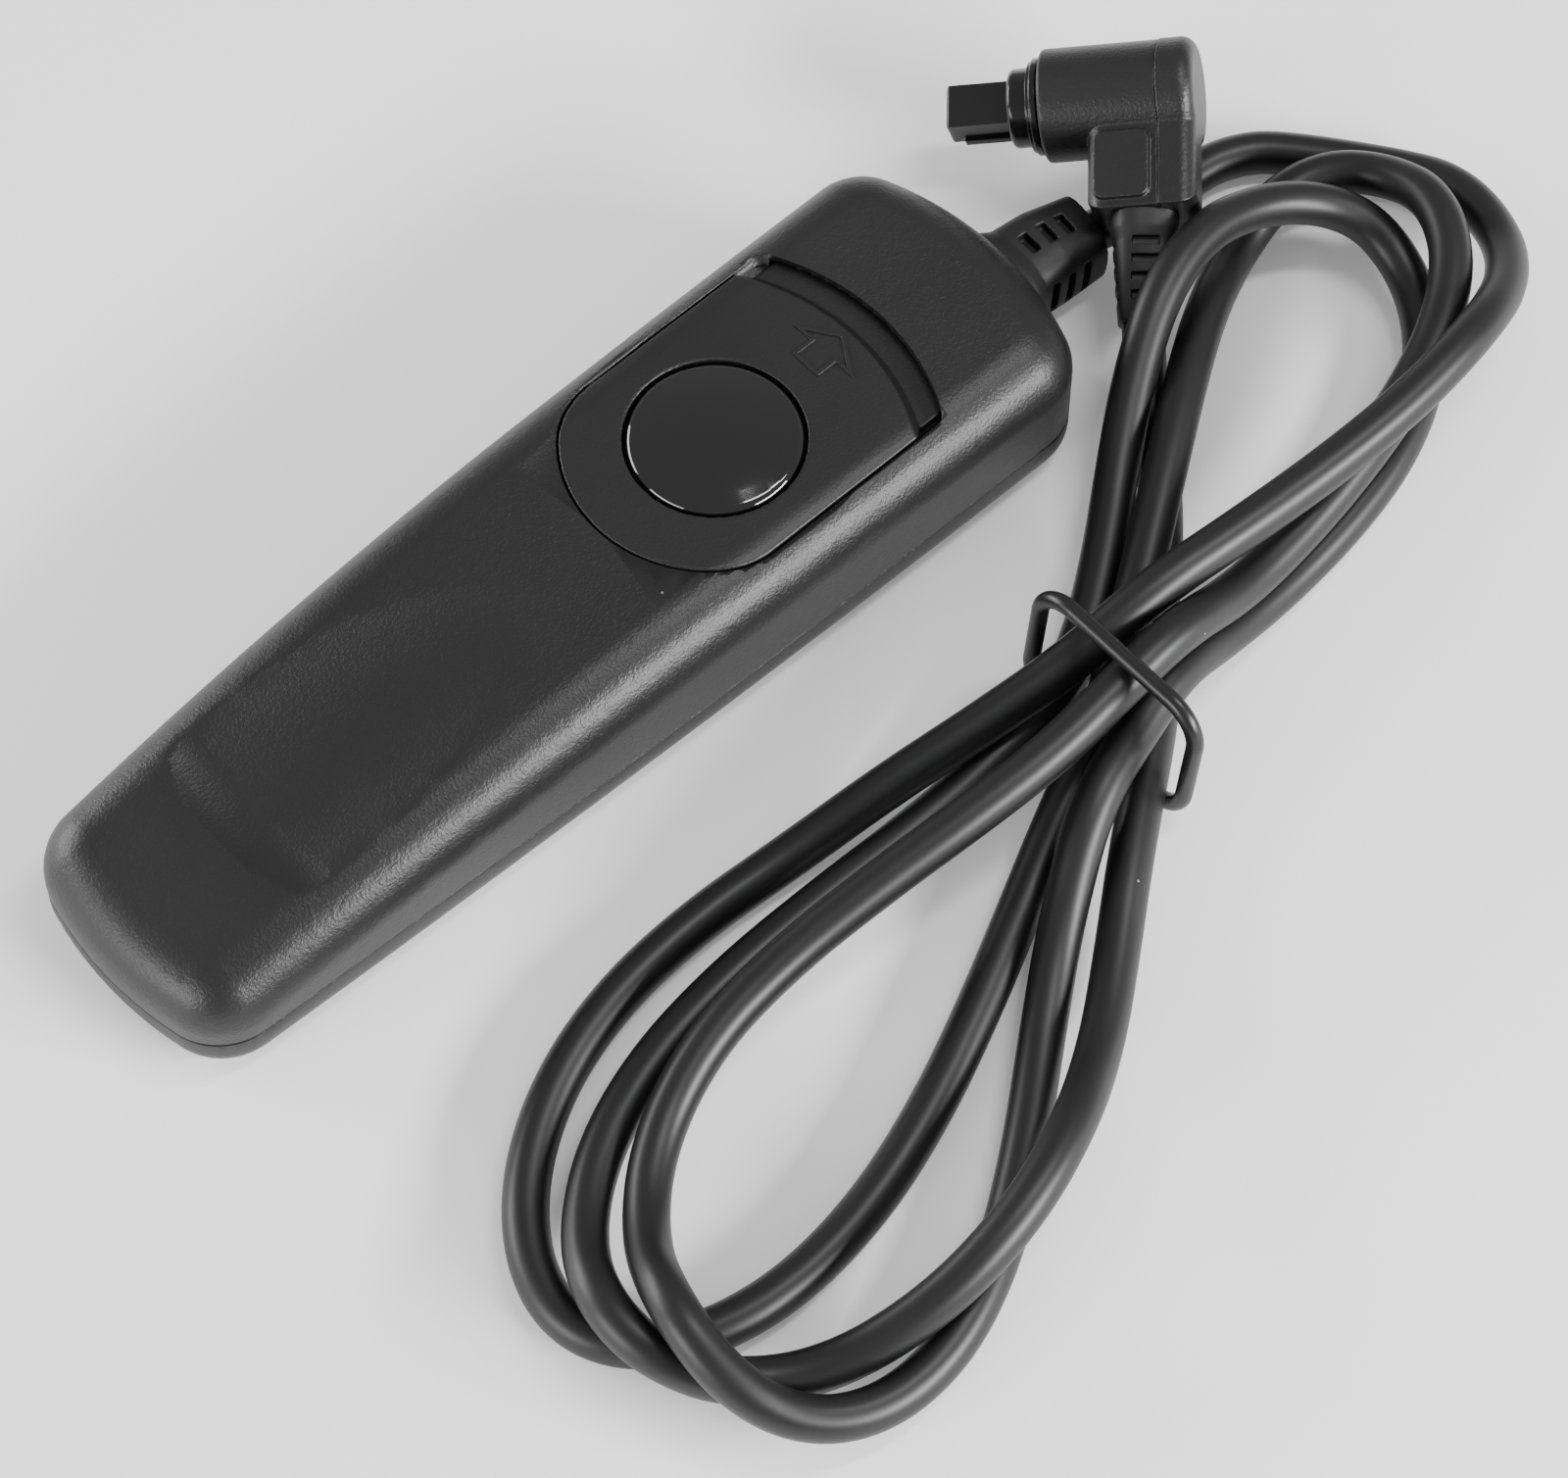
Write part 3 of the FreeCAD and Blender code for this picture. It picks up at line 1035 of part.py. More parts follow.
def plug_rear_cover():
    """The back half: a rounded cap over barrel and stem, a hair wider than the front half."""
    lip = COVER_RADIUS - BARREL_RADIUS
    stem = Part.makeBox(BARREL_BACK - COVER_BACK, STEM_LENGTH, STEM_TOP + STEM_UNDER + 2 * lip,
        vec(COVER_BACK, 0, -STEM_UNDER - lip))
    body = barrel(COVER_RADIUS, COVER_BACK, BARREL_BACK).fuse(stem).removeSplitter()
    back = [e for e in body.Edges if e.BoundBox.XMax < COVER_BACK + 0.01]
    body = body.makeFillet(COVER_EDGE_RADIUS, back)
    return body.cut(grown_neck()).removeSplitter()


def contact_places():
    return [(k - 1) * CONTACT_PITCH for k in range(3)]


def plug_contact_block():
    """The rectangular nose with its keying ledge and three bores."""
    block = Part.makeBox(NOSE_TIP - NOSE_ROOT, 2 * NOSE_HALF_WIDTH, 2 * NOSE_HALF_HEIGHT, vec(NOSE_ROOT,
        -NOSE_HALF_WIDTH, -NOSE_HALF_HEIGHT))
    rim = [e for e in block.Edges if e.BoundBox.XMin > NOSE_TIP - 0.01]
    block = block.makeFillet(NOSE_EDGE_RADIUS, rim)
    key_front = NOSE_TIP - NOSE_KEY_SETBACK
    key = Part.makeBox(key_front - COLLAR_WELL_FLOOR, NOSE_KEY + 0.2, NOSE_KEY_HEIGHT,
        vec(COLLAR_WELL_FLOOR, NOSE_HALF_WIDTH - 0.2, -NOSE_HALF_HEIGHT))
    block = block.fuse(key).removeSplitter()
    for y in contact_places():
        block = block.cut(Part.makeCylinder(CONTACT_RADIUS, CONTACT_DEPTH + 1,
            vec(NOSE_TIP - CONTACT_DEPTH, y, 0), vec(1, 0, 0)))
    return block


def plug_contacts():
    out = []
    for y in contact_places():
        outer = Part.makeCylinder(CONTACT_RADIUS, CONTACT_DEPTH - 0.2, vec(NOSE_TIP - CONTACT_DEPTH, y,
            0), vec(1, 0, 0))
        inner = Part.makeCylinder(CONTACT_RADIUS - CONTACT_WALL, CONTACT_DEPTH,
            vec(NOSE_TIP - CONTACT_DEPTH + 0.6, y, 0), vec(1, 0, 0))
        out.append(outer.cut(inner))
    return Part.makeCompound(out)


def plug_collar():
    """The sliding collar: sleeve, step, flange and a guide skirt that the spring surrounds."""
    sleeve_body = barrel(COLLAR_RADIUS, COLLAR_FLANGE_BACK, COLLAR_FRONT)
    sleeve_body = sleeve_body.makeFillet(COLLAR_EDGE_RADIUS,
        [e for e in sleeve_body.Edges if e.BoundBox.XMin > COLLAR_FRONT - 0.01])
    body = sleeve_body.fuse([
        barrel(COLLAR_STEP_RADIUS, COLLAR_FLANGE_BACK, COLLAR_BACK),
        barrel(COLLAR_FLANGE_RADIUS, COLLAR_FLANGE_BACK, COLLAR_STEP_BACK),
        barrel(COLLAR_SKIRT_RADIUS, COLLAR_WELL_FLOOR + COLLAR_TRAVEL + 0.2, COLLAR_FLANGE_BACK + 0.1),
    ])
    return body.cut(barrel(COLLAR_BORE, COLLAR_WELL_FLOOR - 1, COLLAR_FRONT + 1)).removeSplitter()


def plug_collar_spring():
    foot = COLLAR_WELL_FLOOR + COLLAR_SPRING_WIRE / 2 + 0.03
    top = COLLAR_FLANGE_BACK - COLLAR_SPRING_WIRE / 2 - 0.03
    body = coil(vec(0, 0, 0), COLLAR_SPRING_RADIUS, COLLAR_SPRING_RADIUS, foot, top, COLLAR_SPRING_TURNS,
        COLLAR_SPRING_WIRE)
    body.rotate(vec(0, 0, 0), vec(0, 1, 0), 90)
    return body


def plug_relief_frame(distance):
    """Centre and directions of the plug's strain relief at a distance from the stem's end."""
    start = PLUG_PLACE.multVec(vec(0, STEM_LENGTH, 0))
    bearing, dip = math.radians(PLUG_CORD_BEARING), math.radians(PLUG_CORD_DIP)
    along = vec(math.cos(dip) * math.cos(bearing), math.cos(dip) * math.sin(bearing), -math.sin(dip))
    side = vec(0, 0, 1).cross(along)
    side.normalize()
    return start + along * distance, along, side, along.cross(side)


def plug_strain_relief():
    """A slotted sleeve that tapers to the cord, standing on the stem's end face."""
    body = sleeve(PLUG_RELIEF_SECTIONS, plug_relief_frame)
    body = cut_slots(body, PLUG_RELIEF_SECTIONS, plug_relief_frame, PLUG_RELIEF_SLOT_STATIONS,
                     PLUG_RELIEF_SLOT_WIDTH, PLUG_RELIEF_SLOT_DEPTH, PLUG_RELIEF_SLOT_SIDE,
                     PLUG_RELIEF_SLOT_SIDE)
    reach = STEM_LENGTH + PLUG_RELIEF_SECTIONS[-1][0]
    behind = Part.makeBox(2 * reach, reach, 2 * reach, vec(-reach, STEM_LENGTH - reach, -reach))
    body = body.cut(placed(behind))
    return body.fuse(placed(plug_neck())).removeSplitter()


def climb(knots, at):
    """Height along the cord: an even curve through the knots that never overshoots them."""
    for k in range(len(knots) - 1):
        (t0, z0), (t1, z1) = knots[k], knots[k + 1]
        if at <= t1 or k == len(knots) - 2:
            break
    run = t1 - t0

    def slope_at(j):
        if j == 0 or j == len(knots) - 1:
            return 0.0
        (ta, za), (tb, zb), (tc, zc) = knots[j - 1], knots[j], knots[j + 1]
        before, after = (zb - za) / (tb - ta), (zc - zb) / (tc - tb)
        if before * after <= 0:
            return 0.0
        w_before, w_after = 2 * (tc - tb) + (tb - ta), (tc - tb) + 2 * (tb - ta)
        return (w_before + w_after) / (w_before / before + w_after / after)

    u = (at - t0) / run
    m0, m1 = slope_at(k) * run, slope_at(k + 1) * run
    return (2 * u ** 3 - 3 * u ** 2 + 1) * z0 + (u ** 3 - 2 * u ** 2 + u) * m0 + (3
        * u ** 2 - 2 * u ** 3) * z1 + (u ** 3 - u ** 2) * m1


def hank_knots():
    """All height knots in one list, counted in bights from the hank's first tie crossing."""
    out = []
    for number, bight in enumerate(BIGHTS):
        out += [(number + share, z) for share, z in bight["heights"]]
    return out


def hank_points():
    """Points of the hank: each bight leaves the tie, swings out to its reach and comes back."""
    knots = hank_knots()
    points = [vec(x, y, CORD_RADIUS) for x, y in HANK_ENTRY]
    start = HANK_START
    for number, bight in enumerate(BIGHTS):
        bearing = math.radians(bight["bearing"])
        end = bight["slot"]
        first = STATIONS // 2 + 1 if number == 0 else 0
        for k in range(first, STATIONS):
            share = k / STATIONS - STATION_EASE * math.sin(2 * math.pi * k / STATIONS)
            s, c = math.sin(math.pi * share), math.cos(math.pi * share)
            out = bight["reach"] * s
            across = c * (bight["near"] * s + bight["middle"] * s ** 2 + bight["far"]
                * s ** 3) + bight["bow"] * s ** 2
            x = start[0] + (end[0] - start[0]) * share + out * math.cos(bearing) - across * math.sin(bearing)
            y = start[1] + (end[1] - start[1]) * share + out * math.sin(bearing) + across * math.cos(bearing)
            points.append(vec(x, y, max(CORD_RADIUS, climb(knots, number + share))))
        start = end
    points.append(vec(start[0], start[1], knots[-1][1]))
    return points


def arc_from(corner, before, after):
    """The arc that leaves before and reaches after, both the same distance from the corner."""
    back, ahead = before - corner, after - corner
    reach = back.Length
    back.normalize()
    ahead.normalize()
    middle = back + ahead
    if middle.Length < 2e-5:
        return Part.LineSegment(before, after).toShape()
    middle.normalize()
    half_turn = math.acos(max(-1.0, min(1.0, -back.dot(ahead)))) / 2
    radius = reach / math.tan(half_turn)
    peak = corner + middle * (math.hypot(reach, radius) - radius)
    return Part.Arc(before, peak, after).toShape()


def biarc(start, leaving, end, arriving):
    """Two arcs that join two points with the given directions."""
    gap = end - start
    both = leaving + arriving
    spread = 2 * (1 - leaving.dot(arriving))
    reach_part = gap.dot(both)
    if spread < 1e-9:
        reach = gap.dot(gap) / (2 * reach_part)
    else:
        reach = (-reach_part + math.sqrt(reach_part ** 2 + spread * gap.dot(gap))) / spread
    one, two = start + leaving * reach, end - arriving * reach
    middle = (one + two) * 0.5
    return [arc_from(one, start, middle), arc_from(two, middle, end)]


def hank_wire(points):
    """Biarcs through the middles of the points' runs, with a straight bit at each end."""
    headings = []
    for a, b in zip(points, points[1:]):
        run = b - a
        run.normalize()
        headings.append(run)
    stops = [points[0]] + [(a + b) * 0.5 for a, b in zip(points[1:-2], points[2:-1])] + [points[-1]]
    ways = [headings[0]] + headings[1:-1] + [headings[-1]]
    edges = [Part.LineSegment(points[0] - headings[0] * CORD_DIAMETER, points[0]).toShape()]
    for k in range(len(stops) - 1):
        edges += biarc(stops[k], ways[k], stops[k + 1], ways[k + 1])
    edges.append(Part.LineSegment(points[-1], points[-1] + headings[-1] * CORD_DIAMETER).toShape())
    return Part.Wire(edges), headings[0], headings[-1]


def least_gap(wire):
    """Smallest distance between two parts of the cord that lie more than a bend apart."""
    points = wire.discretize(Distance=2.0)
    least = 1e9
    for i in range(len(points)):
        for j in range(i + 8, len(points)):
            least = min(least, (points[i] - points[j]).Length)
    return least


def cord_nodes():
    points = hank_points()
    wire, leaving, arriving = hank_wire(points)
    hank = sweep_circle(wire, CORD_RADIUS)
    print("hank length", round(wire.Length, 1), "least gap", round(least_gap(wire) - CORD_DIAMETER, 2),
          "volume share", round(hank.Volume / (math.pi * CORD_RADIUS ** 2 * wire.Length), 4))
    hank_start = points[0] - leaving * CORD_DIAMETER
    hank_end = points[-1] + arriving * CORD_DIAMETER
    origin, along, side, up = grip_relief_frame(RELIEF_SECTIONS[-1][0])
    lead_route = [origin, origin + along * LEAD_FIRST_RUN] + [vec(*p) for p in LEAD_POINTS]
    lead_route += [hank_start - leaving * LEAD_LAST_RUN, hank_start]
    lead = tube(lead_route, CORD_RADIUS, "lead")
    relief_end, relief_way, side, up = plug_relief_frame(PLUG_RELIEF_SECTIONS[-1][0])
    tail_route = [hank_end, hank_end + arriving * TAIL_FIRST_RUN] + [vec(*p) for p in TAIL_POINTS]
    tail_route += [relief_end + relief_way * TAIL_LAST_RUN, relief_end]
    tail = tube(tail_route, CORD_RADIUS, "tail")
    return lead, hank, tail


def cord_tie():
    """A rubber ring pulled over all the strands at the middle of the hank."""
    low, high = TIE_TUBE_RADIUS, TIE_TOP
    left, right = TIE_CENTRE_Y - TIE_HALF_WIDTH, TIE_CENTRE_Y + TIE_HALF_WIDTH
    r = TIE_CORNER_RADIUS
    q = r * (1 - math.sqrt(0.5))
    x = TIE_X

    def at(y, z):
        return vec(x + (z - low) * TIE_LEAN, y, z)

    edges = [
        Part.LineSegment(at(left + r, low), at(right - r, low)).toShape(),
        Part.Arc(at(right - r, low), at(right - q, low + q), at(right, low + r)).toShape(),
        Part.LineSegment(at(right, low + r), at(right, high - r)).toShape(),
        Part.Arc(at(right, high - r), at(right - q, high - q), at(right - r, high)).toShape(),
        Part.LineSegment(at(right - r, high), at(left + r, high)).toShape(),
        Part.Arc(at(left + r, high), at(left + q, high - q), at(left, high - r)).toShape(),
        Part.LineSegment(at(left, high - r), at(left, low + r)).toShape(),
        Part.Arc(at(left, low + r), at(left + q, low + q), at(left + r, low)).toShape(),
    ]
    return sweep_circle(Part.Wire(edges), TIE_TUBE_RADIUS)


os.makedirs("parts", exist_ok=True)

export(upper_shell(), "upper_shell")
export(lower_shell(), "lower_shell")
export(lock_slider(), "lock_slider")
export(slider_retainer(), "slider_retainer")
export(detent_spring(), "detent_spring")
export(release_button(), "release_button")
export(return_spring(), "return_spring")
export(contact_base(), "contact_base")
export(leaf(0, LEAF_HEAD_X, LEAF_HALF_WIDTH), "full_press_leaf")
export(leaf(1, LEAF_HEAD_X, LEAF_HALF_WIDTH), "half_press_leaf")
export(leaf(2, LEAF_HEAD_X, LEAF_HALF_WIDTH - 0.4), "common_leaf")
export(leaf_spacers(), "leaf_spacers")
export(contact_screws(), "contact_screws")
export(solder_joints(), "solder_joints")
export(lead_wires(), "lead_wires")
export(cord_clamp(), "cord_clamp")
export(clamp_screws(), "clamp_screws")
export(cord_jacket_end(), "cord_jacket_end")
export(case_screws(), "case_screws")
export(handle_strain_relief(), "handle_strain_relief")
export(placed(plug_housing()), "plug_housing")
export(placed(plug_rear_cover()), "plug_rear_cover")
export(placed(plug_contact_block()), "plug_contact_block")
export(placed(plug_contacts()), "plug_contacts")
export(placed(plug_collar()), "plug_collar")
export(placed(plug_collar_spring()), "plug_collar_spring")
export(plug_strain_relief(), "plug_strain_relief")
export(cord_tie(), "cord_tie")
CORD_LEAD, CORD_HANK, CORD_TAIL = cord_nodes()
export(CORD_LEAD, "cord_lead")
export(CORD_HANK, "cord_hank")
export(CORD_TAIL, "cord_tail")
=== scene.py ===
# %% [markdown]
# A wired remote release lies on a white table: a dark hand grip with a sliding lock plate and a
# domed button, about 0.94 m of thin cord folded into a loose hank under a rubber ring, and a
# right-angle plug. The engineering model already holds every part in its true place, so this
# lesson loads it as a fixed frame and only adds looks round it.

# %% Frame
import math

import bmesh
import bpy
import numpy as np
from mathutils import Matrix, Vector


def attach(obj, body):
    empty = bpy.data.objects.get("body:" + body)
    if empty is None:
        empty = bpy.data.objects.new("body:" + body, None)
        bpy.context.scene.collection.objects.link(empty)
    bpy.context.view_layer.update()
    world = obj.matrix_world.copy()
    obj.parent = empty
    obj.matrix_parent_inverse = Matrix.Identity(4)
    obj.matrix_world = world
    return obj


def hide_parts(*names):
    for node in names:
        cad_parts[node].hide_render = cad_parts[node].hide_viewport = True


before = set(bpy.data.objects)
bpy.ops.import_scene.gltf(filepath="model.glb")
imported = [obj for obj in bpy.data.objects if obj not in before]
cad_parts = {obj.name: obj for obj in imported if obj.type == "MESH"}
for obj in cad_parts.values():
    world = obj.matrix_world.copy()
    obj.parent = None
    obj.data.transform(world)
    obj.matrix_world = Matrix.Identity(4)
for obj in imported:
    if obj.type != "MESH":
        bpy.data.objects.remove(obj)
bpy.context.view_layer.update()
MM = 0.001

# %% [markdown]
# The camera comes first, because the cord's shape is judged through it. The photograph was taken
# from above the grip's tail end with a long lens, so the lens is 116 mm on a 36 mm sensor and
# nothing is shifted. The eye and the point it looks at are in millimetres, scaled to metres.

# %% Camera
LENS = 115.7
SENSOR = 36.0
EYE = Vector((-143.64, -185.39, 390.14)) * MM
LOOK_AT = Vector((7.89, -20.08, 0.0)) * MM
camera_data = bpy.data.cameras.new("camera")
camera_data.lens = LENS
camera_data.sensor_width = SENSOR
camera_data.clip_start = 0.05
camera = bpy.data.objects.new("camera", camera_data)
camera.location = EYE
camera.rotation_mode = "QUATERNION"
camera.rotation_quaternion = (LOOK_AT - EYE).to_track_quat("-Z", "Y")
bpy.context.collection.objects.link(camera)
bpy.context.scene.camera = camera
print("camera is", round((LOOK_AT - EYE).length, 3), "m from the middle of the picture")

# %% [markdown]
# Shader maths is easier to read as arithmetic. A Signal is a socket on its way to the shader:
# adding or multiplying signals makes the Math nodes. A Finish is one material, and its node
# method makes any other node, with its settings first and then its values or links.

# %% Signals and finishes


class Signal:
    """A value inside a material. The operators + - * and / add Math nodes to its tree."""

    def __init__(self, finish, socket):
        self.finish, self.socket = finish, socket

    def _math(self, operation, first, second):
        return self.finish.node("ShaderNodeMath", {"operation": operation}, {0: first, 1: second})

    def __add__(self, other):
        return self._math("ADD", self, other)

    def __radd__(self, other):
        return self._math("ADD", other, self)

    def __sub__(self, other):
        return self._math("SUBTRACT", self, other)

    def __mul__(self, other):
        return self._math("MULTIPLY", self, other)

    def __truediv__(self, other):
        return self._math("DIVIDE", self, other)


class Finish:
    """One material: its tree, its shader and the helpers that add nodes to it."""

    def __init__(self, name, **fixed):
        self.material = bpy.data.materials.new(name)
        self.material.use_nodes = True
        self.tree = self.material.node_tree
        self.shader = self.tree.nodes["Principled BSDF"]
        for socket, value in fixed.items():
            self.shader.inputs[socket.replace("_", " ").title()].default_value = value

    def node(self, kind, settings=None, values=None, out=0):
        """Adds a node, gives it its settings or ramp stops, then its numbers and links."""
        made = self.tree.nodes.new(kind)
        for key, value in (settings or {}).items():
            if key == "stops":
                while len(made.color_ramp.elements) < len(value):
                    made.color_ramp.elements.new(0.5)
                for element, (place, colour) in zip(made.color_ramp.elements, value):
                    element.position, element.color = place, colour
            else:
                setattr(made, key, value)
        for key, value in (values or {}).items():
            if isinstance(value, Signal):
                self.tree.links.new(value.socket, made.inputs[key])
            else:
                made.inputs[key].default_value = value
        return Signal(self, made.outputs[out])

    def feed(self, socket, signal):
        self.tree.links.new(signal.socket, self.shader.inputs[socket])

    def place(self, stretch=(1.0, 1.0, 1.0)):
        """Object coordinates, stretched along the axes."""
        raw = self.node("ShaderNodeTexCoord", out="Object")
        return self.node("ShaderNodeMapping", None, {"Vector": raw, "Scale": stretch})

    def noise(self, at, scale, detail=2.0, rough=0.5):
        values = {"Vector": at, "Scale": scale, "Detail": detail, "Roughness": rough}
        return self.node("ShaderNodeTexNoise", None, values)

    def step(self, signal, low, high, to_low=0.0, to_high=1.0):
        """A soft step of a signal between two of its values."""
        settings = {"interpolation_type": "SMOOTHSTEP"}
        values = {"Value": signal, "From Min": low, "From Max": high,
                  "To Min": to_low, "To Max": to_high}
        return self.node("ShaderNodeMapRange", settings, values)

    def blend(self, share, first, second):
        """One colour turning into another."""
        values = {0: share, 6: first, 7: second}
        return self.node("ShaderNodeMix", {"data_type": "RGBA"}, values, out=2)


def grey(level, warm=0.0):
    return (level * (1 + warm), level, level * (1 - warm), 1.0)


# %% [markdown]
# Nearly every surface is black plastic or rubber, and what tells them apart is how light breaks
# on them. The moulded finish has a fine spark-eroded grain in its bump, a slow drift of gloss and
# tone, thin scuffs, and a few pale dust specks. Its grain is a count of cells to a metre and its
# depth is in metres. Most cells of the dust pattern draw a lot that leaves them clean.

# %% Moulded plastic and rubber
DRIFT_CELLS = 55.0
SPECK_CELLS = 260.0
SPECK_LOTS = (0.66, 0.7)
SPECK_SIZE = (0.006, 0.045)
SPECK_GREY = grey(0.42, 0.02)
SCUFF_CELLS = 210.0
SCUFF_STRETCH = (1.0, 9.0, 4.0)
SCUFF_LEVELS = (0.66, 0.74)
TONE_LOW, TONE_HIGH, TONE_WORN = 0.85, 1.2, 2.2


def moulded(name, level, gloss, grain, depth, dust=0.4, scuff=0.25, **fixed):
    """Tone drifts with slow noise, grain is fine noise, and specks are the hearts of sparse cells."""
    finish = Finish(name, **fixed)
    at = finish.place()
    drift = finish.noise(at, DRIFT_CELLS, 3.0, 0.6)
    fine = finish.noise(at, grain, 2.0, 0.65)
    pits = finish.noise(at, grain * 0.37, 1.0, 0.5)
    cells = {"Vector": at, "Scale": SPECK_CELLS, "Randomness": 1.0}
    heart = finish.node("ShaderNodeTexVoronoi", {"feature": "F1"}, cells, out="Distance")
    lot = finish.node("ShaderNodeTexVoronoi", {"feature": "F1"}, cells, out="Color")
    chosen = finish.step(finish.node("ShaderNodeSeparateColor", None, {0: lot}), *SPECK_LOTS)
    size = finish.noise(at, 900.0, 2.0, 0.7) * SPECK_SIZE[1] + SPECK_SIZE[0]
    speck = finish.step(heart / size, 0.8, 1.1, 1.0, 0.0) * chosen
    lines = finish.noise(finish.place(SCUFF_STRETCH), SCUFF_CELLS, 4.0, 0.7)
    rub = finish.step(lines, *SCUFF_LEVELS) * scuff
    tone = finish.blend(drift, grey(level * TONE_LOW), grey(level * TONE_HIGH))
    worn = finish.blend(rub, tone, grey(level * TONE_WORN))
    finish.feed("Base Color", finish.blend(speck * dust, worn, SPECK_GREY))
    finish.feed("Roughness", gloss + (drift - 0.5) * 0.12 + rub * 0.1 + speck * 0.3)
    height = fine + pits * 0.4 + speck * 0.8
    bump = {"Strength": 1.0, "Distance": depth, "Height": height}
    finish.feed("Normal", finish.node("ShaderNodeBump", None, bump))
    return finish.material


shell_black = moulded("shell_black", 0.007, 0.4, 3600.0, 0.00005)
plate_black = moulded("plate_black", 0.006, 0.42, 3600.0, 0.000026)
button_gloss = moulded("button_gloss", 0.003, 0.07, 700.0, 0.0000008, dust=0.3, scuff=0.1,
                       coat_weight=0.6, coat_roughness=0.03)
plug_black = moulded("plug_black", 0.007, 0.4, 3300.0, 0.000055)
relief_black = moulded("relief_black", 0.005, 0.5, 2600.0, 0.000010, dust=0.5)
collar_gloss = moulded("collar_gloss", 0.004, 0.2, 1500.0, 0.000002, dust=0.3)
nose_black = moulded("nose_black", 0.004, 0.3, 2200.0, 0.000003, dust=0.3)
tie_black = moulded("tie_black", 0.004, 0.36, 1900.0, 0.000004, dust=0.5)
cord_black = moulded("cord_black", 0.005, 0.42, 1700.0, 0.000004, dust=0.9)
inner_black = moulded("inner_black", 0.05, 0.5, 2000.0, 0.000008, dust=0.1)
print("moulded finishes ready")

# %% [markdown]
# Inside the grip there are springs, contact strips, screws and wires. They are seldom seen, but
# an opened or exploded view shows them. Metal is drawn or rolled, so its gloss runs in streaks.

# %% Metals, board and insulation


def metal(name, colour, gloss, stretch, tarnish=0.15):
    """Long noise cells make the streaks of drawing or rolling, slow noise makes the tarnish."""
    finish = Finish(name, metallic=1.0)
    streak = finish.noise(finish.place(stretch), 900.0, 3.0, 0.6)
    cloud = finish.noise(finish.place(), 180.0, 4.0, 0.65)
    dull = tuple(c * 0.55 for c in colour[:3]) + (1.0,)
    clouded = finish.step(cloud, 0.45, 0.8) * tarnish * 4.0
    finish.feed("Base Color", finish.blend(clouded, colour, dull))
    finish.feed("Roughness", gloss + streak * 0.22 + cloud * 0.08)
    bump = {"Strength": 1.0, "Distance": 0.000003, "Height": streak}
    finish.feed("Normal", finish.node("ShaderNodeBump", None, bump))
    return finish.material


def fibrous(name, dark, pale, scale, gloss):
    """Pressed board or coloured insulation: two tones mixed by stretched noise."""
    finish = Finish(name)
    strands = finish.noise(finish.place((1.0, 6.0, 2.0)), scale, 4.0, 0.6)
    finish.feed("Base Color", finish.blend(strands, dark, pale))
    finish.feed("Roughness", gloss + strands * 0.15)
    bump = {"Strength": 1.0, "Distance": 0.000008, "Height": strands}
    finish.feed("Normal", finish.node("ShaderNodeBump", None, bump))
    return finish.material


spring_wire = metal("spring_wire", (0.55, 0.55, 0.56, 1.0), 0.18, (1.0, 1.0, 12.0))
contact_brass = metal("contact_brass", (0.72, 0.52, 0.24, 1.0), 0.2, (1.0, 14.0, 1.0))
screw_zinc = metal("screw_zinc", (0.46, 0.47, 0.49, 1.0), 0.25, (3.0, 3.0, 1.0), 0.3)
solder_tin = metal("solder_tin", (0.6, 0.6, 0.61, 1.0), 0.35, (1.0, 1.0, 1.0), 0.35)
clamp_strip = metal("clamp_strip", (0.5, 0.5, 0.5, 1.0), 0.25, (1.0, 10.0, 1.0))
board_brown = fibrous("board_brown", (0.13, 0.055, 0.022, 1.0), (0.25, 0.12, 0.05, 1.0), 700.0, 0.5)
wire_red = fibrous("wire_red", (0.32, 0.02, 0.014, 1.0), (0.42, 0.04, 0.03, 1.0), 400.0, 0.35)
print("metals and insulation ready")

# %% [markdown]
# The cord is one unbroken length. Its middle is a hank of six bights that all pass through the
# rubber ring; each bight has a bearing, a reach, three widths that shape its sides, a bow, the
# slot where it comes back to the ring and its heights where strands cross. The same numbers shape
# the engineering model's cord, so the two lie on each other.

